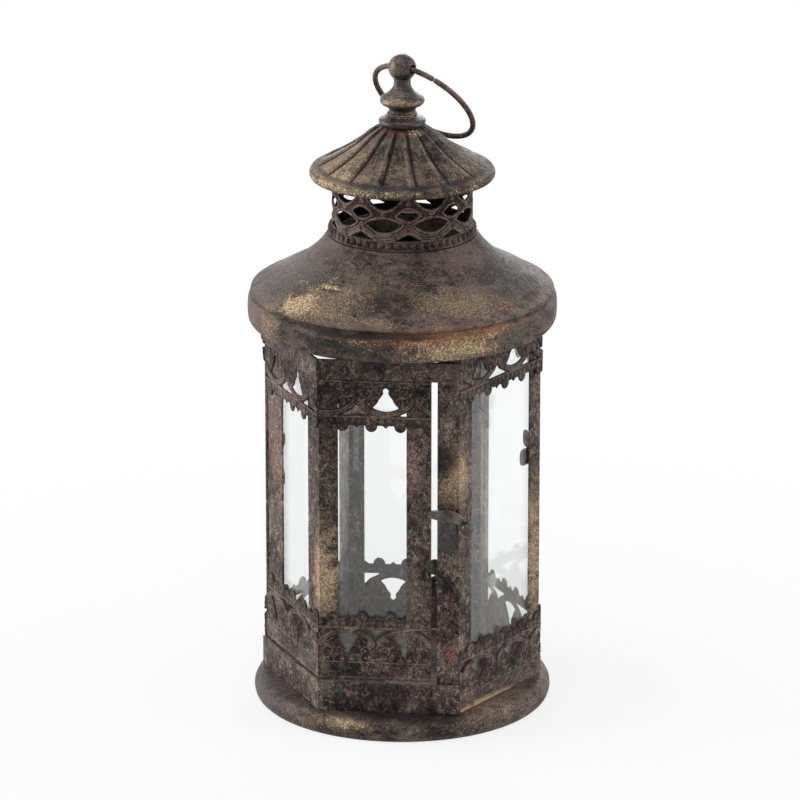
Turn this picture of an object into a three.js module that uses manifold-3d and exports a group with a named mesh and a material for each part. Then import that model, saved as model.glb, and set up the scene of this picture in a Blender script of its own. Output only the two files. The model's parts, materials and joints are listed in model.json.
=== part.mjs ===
// Six-sided glazed candle lantern with a domed roof, a pierced collar and a carry ring.
// Millimetres, +Z up. The origin is the centre of the face that the base stands on.
// The front face looks along -Y. A face's "along" runs counter-clockwise seen from above,
// and its "apothem" is the distance from the lantern's axis.

import * as THREE from 'three';
import { mergeVertices } from 'three/addons/utils/BufferGeometryUtils.js';
import Module from 'manifold-3d';

const wasm = await Module();
wasm.setup();

// Clearance between pieces that touch on the real lantern
const FIT = 0.3;

// Base pan
const BASE_RADIUS = 73.5;
const BASE_HEIGHT = 11;
const BASE_SHEET = 1.2;
const BASE_FLANGE = 9;

// Hexagonal body
const BODY_RADIUS = 68;
const SHEET = 1;
const POST_TOP = 206.8;
const POST_LEG = 8.6;
const LATCH_POST_LEG = 10.5;
const HINGE_POST_RETURN = 1.15;

// Glass
const GLASS = 2;
const PANE_TOP = 198;
const PANE_EDGE = 3.2;
const TAB_LAP = 9.6;
const DOOR_TAB_LAP = 1.8;
const TAB_ROUND = 2.4;
const TAB_HEIGHT = 8.5;
const TAB_SHEET = 0.8;
const TAB_LOW = 122.9;
const TAB_HIGH = 128.4;

// Door of two panels, folded at the front left corner
const DOOR_BOTTOM = 27.6;
const DOOR_TOP = 181.3;
const DOOR_GAP = 3;
const LATCH_STILE = 12;
const HINGE_STILE = 16.8;
const CORNER_STILE_FRONT = 9.1;
const CORNER_STILE_LEFT = 13.8;
const BOTTOM_RAIL = 9;
const TOP_RAIL = 2.8;
const DOOR_PANE_LAP = 5;
const DOOR_TAB_LOW = 110;

// Sill and header, the folded bands below and above the door
const BAND_SHEET = 1.4;
const SILL_TOP = 26.4;
const HEADER_HEIGHT = 9.9;

// Stamped ornament strips
const STRIP_SHEET = 1;
const STRIP_HEIGHT = 34.4;
const MOTIF_PITCH = 28.2;
const BIG_LOBE = 2.75;
const SMALL_LOBE = 1.55;
const FIXED_STRIP_TOP = 203.3;
const DOOR_UPPER_STRIP = 26.1;
const BACK_STRIP_EXTRA = 2.9;

// Where a bell stands along each strip, from the middle of its face
const BELL_ON_FACE = { right: 10.4, back_right: 0, back: 10.9, back_left: -4 };
const BELL_ON_DOOR_LEFT = 9.2;
const BELL_ON_DOOR_FRONT_UPPER = -1.5;
const BELL_ON_DOOR_FRONT_LOWER = 7.5;

// Hinges
const HINGE_BARREL = 1.3;
const HINGE_PIN = 0.6;
const PIN_CLEARANCE = 0.1;
const HINGE_LEAF = 0.55;
const HINGE_LEAF_WIDTH = 7.5;
const HINGE_POST_LEAF_WIDTH = 2.6;
const HINGE_LENGTH = 23.6;
const HINGE_BOTTOMS = [55.4, 135];

// Latch
const LATCH_X = 28.3;
const LATCH_Z = 114.8;
const LATCH_PLATE_WIDTH = 9;
const LATCH_PLATE_LENGTH = 24.8;
const LATCH_PLATE_SHEET = 1.2;
const LATCH_STANDOFF = 1.2;
const LEVER_SHEET = 1.6;
const LEVER_TONGUE_HALF = 2;
const RIVET_RADIUS = 1.3;
const RIVET_HEAD = 2.6;
const RIVET_HEAD_HEIGHT = 1.2;
const RIVET_TAIL = 1;
const KNOB_RADIUS = 3.4;
const KNOB_X = 10.3;
const KNOB_DROP = 5.6;

// Roof, with its crown plate inside
const ROOF_RADIUS = 75.8;
const ROOF_BOTTOM = 195.6;
const ROOF_BAND = 14.5;
const ROOF_RISE = 28.4;
const ROOF_SHEET = 1;
const ROOF_SEAT = 36.6;
const ROOF_VENT = 31.5;
const CROWN_SHEET = 1.2;
const CROWN_VENT = 45;

// Pierced collar
const COLLAR_RADIUS = 34.3;
const COLLAR_SHEET = 0.9;
const COLLAR_BANDS = 9;
const COLLAR_TURN = 11;
const BEAD_RING_WALL = 1.7;
const BEAD_RING_HEIGHT = 4.4;

// Cap
const CAP_RADIUS = 45.2;
const CAP_BOTTOM = 267.3;
const CAP_SHEET = 0.9;
const CAP_PLEATS = 15;
const PLEAT_TURN = 22;
const PLEAT_STEPS = 3;
const PLEAT_HEIGHT = 0.7;
const PLEAT_START = 5;
const CAP_CROWN_RADIUS = 9;
const CAP_CROWN_Z = 293.1;

// Finial and carry ring
const BALL_RADIUS = 6.8;
const BALL_RISE = 27.3;
const FINIAL_NECK = 4.1;
const FINIAL_FOOT_RADIUS = 11.4;
const STUD_RADIUS = 2.4;
const NUT_RADIUS = 4.8;
const NUT_HEIGHT = 3.8;
const EYE_RADIUS = 2.35;
const EYE_TURN = 57.8;
const RING_RADIUS = 27;
const RING_WIRE = 1.35;
const RING_DROP = 50.5;

const FACE_TURN = { front: 0, right: 60, back_right: 120, back: 180, back_left: 240, left: 300 };
const FIXED_FACES = ['right', 'back_right', 'back', 'back_left'];

const radians = THREE.MathUtils.degToRad;
const HALF_SIDE = Math.tan(radians(30));
const bodyApothem = BODY_RADIUS * Math.cos(radians(30));
const halfFace = bodyApothem * HALF_SIDE;
const legInner = bodyApothem - SHEET;
const paneOuter = legInner - FIT;
const paneInner = paneOuter - GLASS;
const trimInner = bodyApothem + FIT;
const trimHalf = (trimInner + STRIP_SHEET) * HALF_SIDE;
const floorZ = BASE_HEIGHT + FIT;

const materials = {
  agedIron: { color: 0x4a3d3a, roughness: 0.72, metalness: 0.55 },
  fretwork: { color: 0x44383a, roughness: 0.75, metalness: 0.5 },
  wire: { color: 0x2e2728, roughness: 0.6, metalness: 0.7 },
  glass: { color: 0xeef3f2, roughness: 0.06, metalness: 0, transparent: true, opacity: 0.25 },
};

const lantern = new THREE.Group();

function addPiece(name, geometry, look, parent = lantern) {
  const mesh = new THREE.Mesh(geometry, new THREE.MeshStandardMaterial(materials[look]));
  mesh.name = name;
  parent.add(mesh);
  return mesh;
}

// Solids made of joined and cut shapes

function toSolid(geometry) {
  const bare = geometry.clone();
  bare.deleteAttribute('normal');
  bare.deleteAttribute('uv');
  const merged = mergeVertices(bare, 1e-4);
  return new wasm.Manifold(new wasm.Mesh({
    numProp: 3,
    vertProperties: new Float32Array(merged.attributes.position.array),
    triVerts: new Uint32Array(merged.index.array),
  }));
}

function toGeometry(solid) {
  const mesh = solid.getMesh();
  const geometry = new THREE.BufferGeometry();
  geometry.setAttribute('position', new THREE.BufferAttribute(new Float32Array(mesh.vertProperties), 3));
  geometry.setIndex(new THREE.BufferAttribute(new Uint32Array(mesh.triVerts), 1));
  geometry.computeVertexNormals();
  return geometry;
}

function joined(shapes) {
  return shapes.map(toSolid).reduce((whole, part) => whole.add(part));
}

function cutBy(solid, cutters) {
  return cutters.reduce((whole, cutter) => whole.subtract(toSolid(cutter)), solid);
}

// Upright, face and turned shapes

function facePoint(face, along, apothem) {
  const turn = radians(FACE_TURN[face]);
  return new THREE.Vector2(
    along * Math.cos(turn) + apothem * Math.sin(turn),
    along * Math.sin(turn) - apothem * Math.cos(turn),
  );
}

function uprightPrism(plan, bottom, top) {
  const depth = top - bottom;
  const prism = new THREE.ExtrudeGeometry(new THREE.Shape(plan), { depth, bevelEnabled: false });
  return prism.translate(0, 0, bottom);
}

// A shape drawn along a face and up, made into a plate between two apothems
function facePlate(face, shape, inner, outer) {
  const plate = new THREE.ExtrudeGeometry(shape, { depth: outer - inner, bevelEnabled: false });
  plate.rotateX(Math.PI / 2);
  plate.translate(0, -inner, 0);
  return plate.rotateZ(radians(FACE_TURN[face]));
}

function faceBox(face, left, right, inner, outer, bottom, top) {
  const corners = [[left, inner], [left, outer], [right, outer], [right, inner]];
  return uprightPrism(corners.map(([along, apothem]) => facePoint(face, along, apothem)), bottom, top);
}

function upright(radius, bottom, top, sides, x, y) {
  const rod = new THREE.CylinderGeometry(radius, radius, top - bottom, sides);
  return rod.rotateX(Math.PI / 2).translate(x, y, (bottom + top) / 2);
}

function turned(profile, sides) {
  const loop = [...profile, profile[0]];
  const points = loop.map(([radius, height]) => new THREE.Vector2(radius, height));
  if (THREE.ShapeUtils.isClockWise(points)) {
    points.reverse();
  }
  const lathe = new THREE.LatheGeometry(points, sides);
  return toGeometry(toSolid(lathe.rotateX(Math.PI / 2)));
}

// Points of a profile moved inwards by the sheet's thickness, from its end back to its start
function innerSkin(outline, sheet) {
  return outline.map(([radius, height], i) => {
    const before = outline[Math.max(i - 1, 0)];
    const after = outline[Math.min(i + 1, outline.length - 1)];
    const run = Math.hypot(after[0] - before[0], after[1] - before[1]);
    return [radius + sheet * (after[1] - before[1]) / run, height - sheet * (after[0] - before[0]) / run];
  }).reverse();
}

// Base: a spun pan with a rolled rim, open below inside a turned-in foot

function buildBase() {
  const rim = [
    [BASE_RADIUS - 2.4, 0],
    [BASE_RADIUS - 0.7, 2],
    [BASE_RADIUS, BASE_HEIGHT * 0.48],
    [BASE_RADIUS - 0.8, BASE_HEIGHT * 0.77],
    [BASE_RADIUS - 2, BASE_HEIGHT * 0.93],
    [BASE_RADIUS - 3.6, BASE_HEIGHT],
  ];
  const inside = [
    [BASE_RADIUS - 4, BASE_HEIGHT - BASE_SHEET],
    [BASE_RADIUS - BASE_SHEET - 0.9, BASE_HEIGHT * 0.7],
    [BASE_RADIUS - BASE_SHEET, BASE_HEIGHT * 0.45],
    [BASE_RADIUS - 2.4, BASE_SHEET],
    [BASE_RADIUS - BASE_FLANGE - 2.4, BASE_SHEET],
    [BASE_RADIUS - BASE_FLANGE - 2.4, 0],
  ];
  const profile = [[0, BASE_HEIGHT], [0, BASE_HEIGHT - BASE_SHEET], ...inside, ...rim];
  addPiece('base_pan', turned(profile, 40), 'agedIron');
}

// Posts: folded strips, each with the bent tabs that hold the neighbouring panes

const tongueInner = paneInner - FIT - TAB_SHEET;

function tongue(face, root, tip, low) {
  const high = low + TAB_HEIGHT;
  const shoulder = tip - Math.sign(tip - root) * TAB_ROUND;
  const shape = new THREE.Shape();
  shape.moveTo(root, low);
  shape.lineTo(shoulder, low);
  shape.quadraticCurveTo(tip, low, tip, low + TAB_HEIGHT / 2);
  shape.quadraticCurveTo(tip, high, shoulder, high);
  shape.lineTo(root, high);
  const outline = new THREE.Shape(shape.getPoints(3));
  return facePlate(face, outline, tongueInner, tongueInner + TAB_SHEET);
}

// A tab beside a pane's edge: a web that stands in from the sheet and a tongue bent over the glass
function paneTab(face, edge, inward, low, lap) {
  const webNear = edge - inward * FIT;
  const webFar = webNear - inward * TAB_SHEET;
  const [left, right] = [webNear, webFar].sort((a, b) => a - b);
  return [
    tongue(face, webFar, edge + inward * lap, low),
    faceBox(face, left, right, tongueInner, legInner + SHEET / 2, low, low + TAB_HEIGHT),
  ];
}

function tab(face, end, low) {
  return paneTab(face, end * (halfFace - PANE_EDGE), -end, low, TAB_LAP);
}

function buildPost(name, before, after, legBefore, legAfter, tabs, cuts = []) {
  const innerHalf = legInner * HALF_SIDE;
  const plan = [
    facePoint(before, halfFace - legBefore, bodyApothem),
    facePoint(before, halfFace, bodyApothem),
    facePoint(after, -halfFace + legAfter, bodyApothem),
    facePoint(after, -halfFace + legAfter, legInner),
    facePoint(before, innerHalf, legInner),
    facePoint(before, halfFace - legBefore, legInner),
  ];
  const strip = uprightPrism(plan, floorZ, POST_TOP);
  addPiece(name, toGeometry(cutBy(joined([strip, ...tabs]), cuts)), 'agedIron');
}

function buildPosts() {
  const rivetHole = latchBore(bodyApothem + FIT, legInner - FIT, RIVET_RADIUS + FIT);
  buildPost('latch_post', 'front', 'right', LATCH_POST_LEG, LATCH_POST_LEG,
    tab('right', -1, TAB_LOW), [rivetHole]);
  buildPost('right_post', 'right', 'back_right', POST_LEG, POST_LEG,
    [...tab('right', 1, TAB_LOW), ...tab('back_right', -1, TAB_HIGH)]);
  buildPost('back_right_post', 'back_right', 'back', POST_LEG, POST_LEG,
    [...tab('back_right', 1, TAB_LOW), ...tab('back', -1, TAB_HIGH)]);
  buildPost('back_left_post', 'back', 'back_left', POST_LEG, POST_LEG,
    [...tab('back', 1, TAB_LOW), ...tab('back_left', -1, TAB_HIGH)]);
  buildPost('hinge_post', 'back_left', 'left', POST_LEG, HINGE_POST_RETURN,
    tab('back_left', 1, TAB_LOW));
}

function buildPanes() {
  const half = halfFace - PANE_EDGE;
  for (const face of FIXED_FACES) {
    addPiece(`${face}_pane`, faceBox(face, -half, half, paneInner, paneOuter, floorZ, PANE_TOP), 'glass');
  }
}

// Ornament strips: a row of lobes, pointed bells and spandrels, drawn from the plain edge (0) up

function lobeArc(centre, radius, base, steps) {
  const points = [];
  for (let i = 0; i <= steps; i++) {
    const angle = Math.PI * (1 - i / steps);
    points.push([centre + radius * Math.cos(angle), base + radius * Math.sin(angle)]);
  }
  return points;
}

function scallopedEdge(left, right, bell, foot) {
  const half = MOTIF_PITCH / 2;
  const base = foot + STRIP_HEIGHT - BIG_LOBE;
  const first = Math.ceil((left - bell) / (half / 2));
  const last = Math.floor((right - bell) / (half / 2));
  const edge = [];
  for (let i = first; i <= last; i++) {
    const centre = bell + i * half / 2;
    const big = Math.abs(i) % 2 === 1;
    const radius = big ? BIG_LOBE : SMALL_LOBE;
    if (centre - radius > left + FIT && centre + radius < right - FIT) {
      edge.push(...lobeArc(centre, radius, base, big ? 4 : 2));
    }
  }
  return [[left, base], ...edge, [right, base]];
}

// The openings are stamped with the motif, so their points are shares of its pitch and height

function onMotif(centre, foot, [across, up]) {
  return [centre + MOTIF_PITCH * across, foot + STRIP_HEIGHT * up];
}

function mirrored(points) {
  return points.map(([across, up]) => [-across, up]).reverse();
}

function bellHole(centre, foot) {
  const side = [
    [0.227, 0.642], [0.184, 0.61], [0.131, 0.558],
    [0.085, 0.483], [0.039, 0.433], [0.051, 0.395],
  ];
  const outline = [[0, 0.695], ...side, [0, 0.349], ...mirrored(side)];
  return outline.map((point) => onMotif(centre, foot, point));
}

function spandrelHole(centre, foot) {
  const side = [[0.248, 0.759], [0.241, 0.741], [0.152, 0.706], [0.064, 0.666], [0.035, 0.631]];
  const outline = [...side, [0, 0.602], ...mirrored(side)];
  return outline.map((point) => onMotif(centre, foot, point));
}

function stripHoles(left, right, bell, foot) {
  const margin = 1.2;
  const reach = Math.ceil((right - left) / MOTIF_PITCH) + 1;
  const holes = [];
  for (let i = -2 * reach; i <= 2 * reach; i++) {
    const centre = bell + i * MOTIF_PITCH / 2;
    const hole = i % 2 === 0 ? bellHole(centre, foot) : spandrelHole(centre, foot);
    if (hole.every(([along]) => along > left + margin && along < right - margin)) {
      holes.push(hole);
    }
  }
  return holes;
}

// Half the width of a face's sixth of the plan, short of the mitre with the next face
function mitreHalf(apothem) {
  return apothem * HALF_SIDE - FIT;
}

function faceWedge(face) {
  const near = bodyApothem / 2;
  const far = BODY_RADIUS * 1.2;
  const plan = [
    [-mitreHalf(near), near],
    [-mitreHalf(far), far],
    [mitreHalf(far), far],
    [mitreHalf(near), near],
  ];
  return toSolid(uprightPrism(plan.map(([along, apothem]) => facePoint(face, along, apothem)), 0, POST_TOP));
}

// A strip may be trimmed at its plain edge, or stand on a taller one
function buildStrip(name, face, left, right, bell, bottom, height, pointsUp) {
  const foot = height - STRIP_HEIGHT;
  const outer = trimInner + STRIP_SHEET;
  const place = ([along, up]) => new THREE.Vector2(along, pointsUp ? bottom + up : bottom + height - up);
  const plate = (points, depth) => facePlate(
    face, new THREE.Shape(points.map(place)), trimInner - depth, outer + depth);
  const outline = [[left, 0], ...scallopedEdge(left, right, bell, foot), [right, 0]];
  const holes = stripHoles(left, right, bell, foot).map((hole) => plate(hole, 1));
  const strip = cutBy(toSolid(plate(outline, 0)), holes).intersect(faceWedge(face));
  addPiece(name, toGeometry(strip), 'fretwork');
}

function buildFixedStrips() {
  for (const face of FIXED_FACES) {
    const bell = BELL_ON_FACE[face];
    buildStrip(`${face}_upper_strip`, face, -trimHalf, trimHalf, bell,
      FIXED_STRIP_TOP - STRIP_HEIGHT, STRIP_HEIGHT, false);
    const height = STRIP_HEIGHT + (face === 'right' ? 0 : BACK_STRIP_EXTRA);
    buildStrip(`${face}_lower_strip`, face, -trimHalf, trimHalf, bell, floorZ, height, true);
  }
}

// Sill and header: bands folded round the two faces of the door

function buildBand(name, bottom, top) {
  const outer = trimInner + BAND_SHEET;
  const plan = [
    facePoint('left', -mitreHalf(outer), outer),
    facePoint('left', outer * HALF_SIDE, outer),
    facePoint('front', mitreHalf(outer), outer),
    facePoint('front', mitreHalf(trimInner), trimInner),
    facePoint('left', trimInner * HALF_SIDE, trimInner),
    facePoint('left', -mitreHalf(trimInner), trimInner),
  ];
  addPiece(name, uprightPrism(plan, bottom, top), 'agedIron');
}

// Door: one folded frame with two windows, two panes and four strips

const hingeAlong = -halfFace + HINGE_POST_RETURN + FIT + HINGE_BARREL;
const hingeApothem = bodyApothem - SHEET / 2;
const hingeAxis = facePoint('left', hingeAlong, hingeApothem);
const doorLeft = hingeAlong + HINGE_BARREL + FIT;
const doorRight = halfFace - LATCH_POST_LEG - DOOR_GAP;

const windows = {
  left: [doorLeft + HINGE_STILE, halfFace - CORNER_STILE_LEFT],
  front: [-halfFace + CORNER_STILE_FRONT, doorRight - LATCH_STILE],
};

function doorTabs() {
  return Object.entries(windows).flatMap(([face, [left, right]]) => [
    ...paneTab(face, left - DOOR_PANE_LAP, 1, DOOR_TAB_LOW, DOOR_TAB_LAP),
    ...paneTab(face, right + DOOR_PANE_LAP, -1, DOOR_TAB_LOW, DOOR_TAB_LAP),
  ]);
}

function buildDoorFrame() {
  const plan = [
    facePoint('left', doorLeft, bodyApothem),
    facePoint('left', halfFace, bodyApothem),
    facePoint('front', doorRight, bodyApothem),
    facePoint('front', doorRight, legInner),
    facePoint('left', legInner * HALF_SIDE, legInner),
    facePoint('left', doorLeft, legInner),
  ];
  const holes = Object.entries(windows).map(([face, [left, right]]) => faceBox(
    face, left, right, legInner - 1, bodyApothem + 1, DOOR_BOTTOM + BOTTOM_RAIL, DOOR_TOP - TOP_RAIL));
  const sheet = cutBy(toSolid(uprightPrism(plan, DOOR_BOTTOM, DOOR_TOP)), holes);
  addPiece('door_frame', toGeometry(sheet.add(joined(doorTabs()))), 'agedIron');
}

function buildDoorGlass() {
  const bottom = DOOR_BOTTOM + BOTTOM_RAIL - DOOR_PANE_LAP;
  for (const [face, [left, right]] of Object.entries(windows)) {
    const pane = faceBox(face, left - DOOR_PANE_LAP, right + DOOR_PANE_LAP, paneInner, paneOuter,
      bottom, DOOR_TOP - FIT);
    addPiece(`door_${face}_pane`, pane, 'glass');
  }
}

function buildDoorStrips() {
  const spans = {
    left: [doorLeft, trimHalf, BELL_ON_DOOR_LEFT, BELL_ON_DOOR_LEFT],
    front: [-trimHalf, doorRight, BELL_ON_DOOR_FRONT_UPPER, BELL_ON_DOOR_FRONT_LOWER],
  };
  for (const [face, [left, right, upper, lower]] of Object.entries(spans)) {
    buildStrip(`door_${face}_upper_strip`, face, left, right, upper,
      DOOR_TOP - DOOR_UPPER_STRIP, DOOR_UPPER_STRIP, false);
    buildStrip(`door_${face}_lower_strip`, face, left, right, lower, DOOR_BOTTOM, STRIP_HEIGHT, true);
  }
}

// Hinges: a barrel knuckle on the post between two on the door, round one pin

function hingeBarrel(bottom, top) {
  return upright(HINGE_BARREL, bottom, top, 14, hingeAxis.x, hingeAxis.y);
}

function buildHinge(name, bottom) {
  const third = HINGE_LENGTH / 3;
  const top = bottom + HINGE_LENGTH;
  const lowJoint = bottom + third;
  const highJoint = top - third;
  const bore = upright(HINGE_PIN + PIN_CLEARANCE, bottom - 1, top + 1, 10, hingeAxis.x, hingeAxis.y);
  const leafOuter = legInner - FIT;
  const leafInner = leafOuter - HINGE_LEAF;
  const postPlan = [
    facePoint('left', hingeAlong, leafOuter),
    facePoint('left', hingeAlong, leafInner),
    facePoint('left', -leafInner * HALF_SIDE, leafInner),
    facePoint('back_left', halfFace - HINGE_POST_LEAF_WIDTH, leafInner),
    facePoint('back_left', halfFace - HINGE_POST_LEAF_WIDTH, leafOuter),
    facePoint('left', -leafOuter * HALF_SIDE, leafOuter),
  ];
  const postLeaf = joined([
    hingeBarrel(lowJoint + FIT, highJoint - FIT),
    uprightPrism(postPlan, lowJoint + FIT, highJoint - FIT),
  ]);
  addPiece(`${name}_hinge_post_leaf`, toGeometry(cutBy(postLeaf, [bore])), 'agedIron');

  const leafEnd = doorLeft + HINGE_LEAF_WIDTH;
  const doorLeaf = joined([
    hingeBarrel(bottom, lowJoint),
    hingeBarrel(highJoint, top),
    faceBox('left', doorLeft, leafEnd, leafInner, leafOuter, bottom, top),
    faceBox('left', hingeAlong, leafEnd, leafInner, leafOuter, bottom, lowJoint),
    faceBox('left', hingeAlong, leafEnd, leafInner, leafOuter, highJoint, top),
  ]);
  addPiece(`${name}_hinge_door_leaf`, toGeometry(cutBy(doorLeaf, [bore])), 'agedIron');

  const pin = upright(HINGE_PIN, bottom - FIT, top + FIT, 10, hingeAxis.x, hingeAxis.y);
  addPiece(`${name}_hinge_pin`, pin, 'wire');
}

// Latch: a plate on the latch post, a rivet, and a lever whose tongue crosses the door gap

const plateOuter = trimInner + LATCH_PLATE_SHEET;
const leverInner = plateOuter + LATCH_STANDOFF;
const leverOuter = leverInner + LEVER_SHEET;
const headOuter = leverOuter + FIT + RIVET_HEAD_HEIGHT;

function latchRod(outer, inner, radius, sides = 14) {
  const rod = new THREE.CylinderGeometry(radius, radius, outer - inner, sides);
  return rod.translate(LATCH_X, -(outer + inner) / 2, LATCH_Z);
}

function latchBore(outer, inner, radius) {
  return latchRod(outer, inner, radius, 10);
}

function buildLatchPlate() {
  const half = LATCH_PLATE_WIDTH / 2;
  const bottom = LATCH_Z + half - LATCH_PLATE_LENGTH + half;
  const outline = new THREE.Shape();
  outline.absarc(LATCH_X, LATCH_Z, half, 0, Math.PI, false);
  outline.absarc(LATCH_X, bottom, half, Math.PI, 2 * Math.PI, false);
  const plate = new THREE.Shape(outline.getPoints(5));
  const hole = new THREE.Path();
  hole.absarc(LATCH_X, LATCH_Z, RIVET_RADIUS + FIT, 0, 2 * Math.PI, true);
  plate.holes.push(new THREE.Path(hole.getPoints(5).slice(0, -1)));
  addPiece('latch_plate', facePlate('front', plate, trimInner, plateOuter), 'agedIron');
}

function buildLatchRivet() {
  const tailInner = legInner - FIT - RIVET_TAIL;
  const rivet = joined([
    latchRod(headOuter, tailInner, RIVET_RADIUS),
    latchRod(headOuter, leverOuter + FIT, RIVET_HEAD),
    latchRod(leverInner - FIT, plateOuter + FIT, RIVET_HEAD),
    latchRod(legInner - FIT, tailInner, RIVET_HEAD),
  ]);
  addPiece('latch_rivet', toGeometry(rivet), 'wire');
}

// The tongue stops just outside the arc that the door's free edge swings through
function tongueTip() {
  const sweep = Math.hypot(doorRight - hingeAxis.x, -bodyApothem - hingeAxis.y) + FIT;
  const depth = -leverInner - hingeAxis.y;
  return hingeAxis.x + Math.sqrt(sweep * sweep - depth * depth);
}

function leverShape() {
  const knobX = LATCH_X + KNOB_X;
  const knobZ = LATCH_Z - KNOB_DROP;
  const across = (share) => LATCH_X + RIVET_HEAD * share;
  const up = (share) => LATCH_Z + RIVET_HEAD * share;
  const shape = new THREE.Shape();
  const tip = tongueTip();
  shape.moveTo(tip, LATCH_Z + LEVER_TONGUE_HALF);
  shape.lineTo(tip, LATCH_Z - LEVER_TONGUE_HALF * 0.6);
  shape.quadraticCurveTo(across(-1.73), LATCH_Z - LEVER_TONGUE_HALF, across(-0.38), up(-1.23));
  shape.quadraticCurveTo(across(1.73), up(-1), knobX - KNOB_RADIUS * 0.47, knobZ);
  shape.lineTo(knobX + KNOB_RADIUS * 0.12, knobZ + KNOB_RADIUS * 0.47);
  shape.quadraticCurveTo(across(2.31), up(1.08), LATCH_X, up(1.15));
  shape.quadraticCurveTo(across(-1.73), up(1), tip, LATCH_Z + LEVER_TONGUE_HALF);
  return new THREE.Shape(shape.getPoints(4).slice(0, -1));
}

function buildLatchLever() {
  const knobPlace = [LATCH_X + KNOB_X, -(plateOuter + FIT + KNOB_RADIUS), LATCH_Z - KNOB_DROP];
  const socket = new THREE.SphereGeometry(KNOB_RADIUS + FIT, 14, 10).translate(...knobPlace);
  const bore = latchBore(leverOuter + 1, leverInner - 1, RIVET_RADIUS + FIT);
  const arm = toSolid(facePlate('front', leverShape(), leverInner, leverOuter));
  addPiece('latch_lever', toGeometry(cutBy(arm, [socket, bore])), 'wire');
  const knob = new THREE.SphereGeometry(KNOB_RADIUS, 16, 10).translate(...knobPlace);
  addPiece('latch_knob', toGeometry(toSolid(knob)), 'wire');
}

// Roof: a spun dome with an upright band, resting on a flat crown plate over the posts

const roofTop = ROOF_BOTTOM + ROOF_BAND + ROOF_RISE;

function roofOutline() {
  const shoulder = ROOF_BOTTOM + ROOF_BAND;
  const rise = (share) => shoulder + ROOF_RISE * share;
  const out = (share) => ROOF_SEAT + (ROOF_RADIUS - ROOF_SEAT) * share;
  return [
    [ROOF_VENT, roofTop],
    [ROOF_SEAT, roofTop],
    [out(0.11), rise(0.77)],
    [out(0.26), rise(0.58)],
    [out(0.46), rise(0.395)],
    [out(0.72), rise(0.21)],
    [out(0.86), rise(0.075)],
    [out(0.955), shoulder],
    [ROOF_RADIUS - 0.7, shoulder - ROOF_BAND * 0.18],
    [ROOF_RADIUS - 0.1, shoulder - ROOF_BAND * 0.48],
    [ROOF_RADIUS, shoulder - ROOF_BAND * 0.72],
    [ROOF_RADIUS - 0.6, ROOF_BOTTOM],
  ];
}

function buildRoof() {
  const outline = roofOutline();
  const skin = innerSkin(outline, ROOF_SHEET);
  addPiece('roof', turned([...outline, ...skin], 40), 'agedIron');

  const crownRadius = ROOF_RADIUS - ROOF_SHEET - 1.4;
  const crownBottom = POST_TOP + FIT;
  const crown = [
    [CROWN_VENT, crownBottom],
    [crownRadius, crownBottom],
    [crownRadius, crownBottom + CROWN_SHEET],
    [CROWN_VENT, crownBottom + CROWN_SHEET],
  ];
  addPiece('crown_plate', turned(crown, 40), 'agedIron');
}

// Collar: a tube pierced with nine bays of lens and eye openings, with a bead ring at its foot

function capSurface(radius) {
  const outline = capOutline();
  const next = outline.findIndex(([r]) => r >= radius);
  const [r0, z0] = outline[next - 1];
  const [r1, z1] = outline[next];
  return z0 + (z1 - z0) * (radius - r0) / (r1 - r0);
}

// An opening's points are shares of a bay's width and of the height between the roof and the cap's rim
const collarOpenings = [
  { shift: 0.5, points: [[-0.36, 0.91], [-0.2, 0.76], [0, 0.705], [0.2, 0.76], [0.36, 0.91]] },
  { shift: 0, points: [[-0.22, 0.628], [-0.08, 0.552], [0.08, 0.552], [0.22, 0.628], [0, 0.708]] },
  {
    shift: 0.5,
    points: [
      [-0.36, 0.458], [-0.18, 0.344], [0, 0.309], [0.18, 0.344],
      [0.36, 0.458], [0.18, 0.535], [-0.18, 0.535],
    ],
  },
  { shift: 0, points: [[-0.3, 0.18], [0.3, 0.18], [0, 0.333]] },
];

function collarCutters() {
  const bay = 2 * Math.PI * COLLAR_RADIUS / COLLAR_BANDS;
  const rise = CAP_BOTTOM - roofTop;
  const depth = 6 * COLLAR_SHEET;
  const cutters = [];
  for (let i = 0; i < COLLAR_BANDS; i++) {
    for (const { shift, points } of collarOpenings) {
      const outline = points.map(([along, up]) => new THREE.Vector2(bay * along, roofTop + rise * up));
      const cutter = new THREE.ExtrudeGeometry(new THREE.Shape(outline), { depth, bevelEnabled: false });
      cutter.rotateX(Math.PI / 2).translate(0, -COLLAR_RADIUS + depth * 0.6, 0);
      cutter.rotateZ(radians(COLLAR_TURN) + 2 * Math.PI * (i + shift) / COLLAR_BANDS);
      cutters.push(cutter);
    }
  }
  return cutters;
}

function buildCollar() {
  const bottom = roofTop + FIT;
  const inner = COLLAR_RADIUS - COLLAR_SHEET;
  const top = capSurface(COLLAR_RADIUS) - CAP_SHEET / Math.cos(radians(32)) - FIT;
  const tube = [[inner, bottom], [COLLAR_RADIUS, bottom], [COLLAR_RADIUS, top], [inner, top]];
  addPiece('collar', toGeometry(cutBy(toSolid(turned(tube, 36)), collarCutters())), 'fretwork');

  const ringInner = COLLAR_RADIUS + FIT;
  const ringOuter = ringInner + BEAD_RING_WALL;
  const ring = [
    [ringInner, bottom],
    [ringOuter, bottom],
    [ringOuter, bottom + BEAD_RING_HEIGHT * 0.7],
    [ringInner, bottom + BEAD_RING_HEIGHT],
  ];
  addPiece('bead_ring', turned(ring, 36), 'fretwork');
}

// Cap: a pleated cone with a rolled rim

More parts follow.
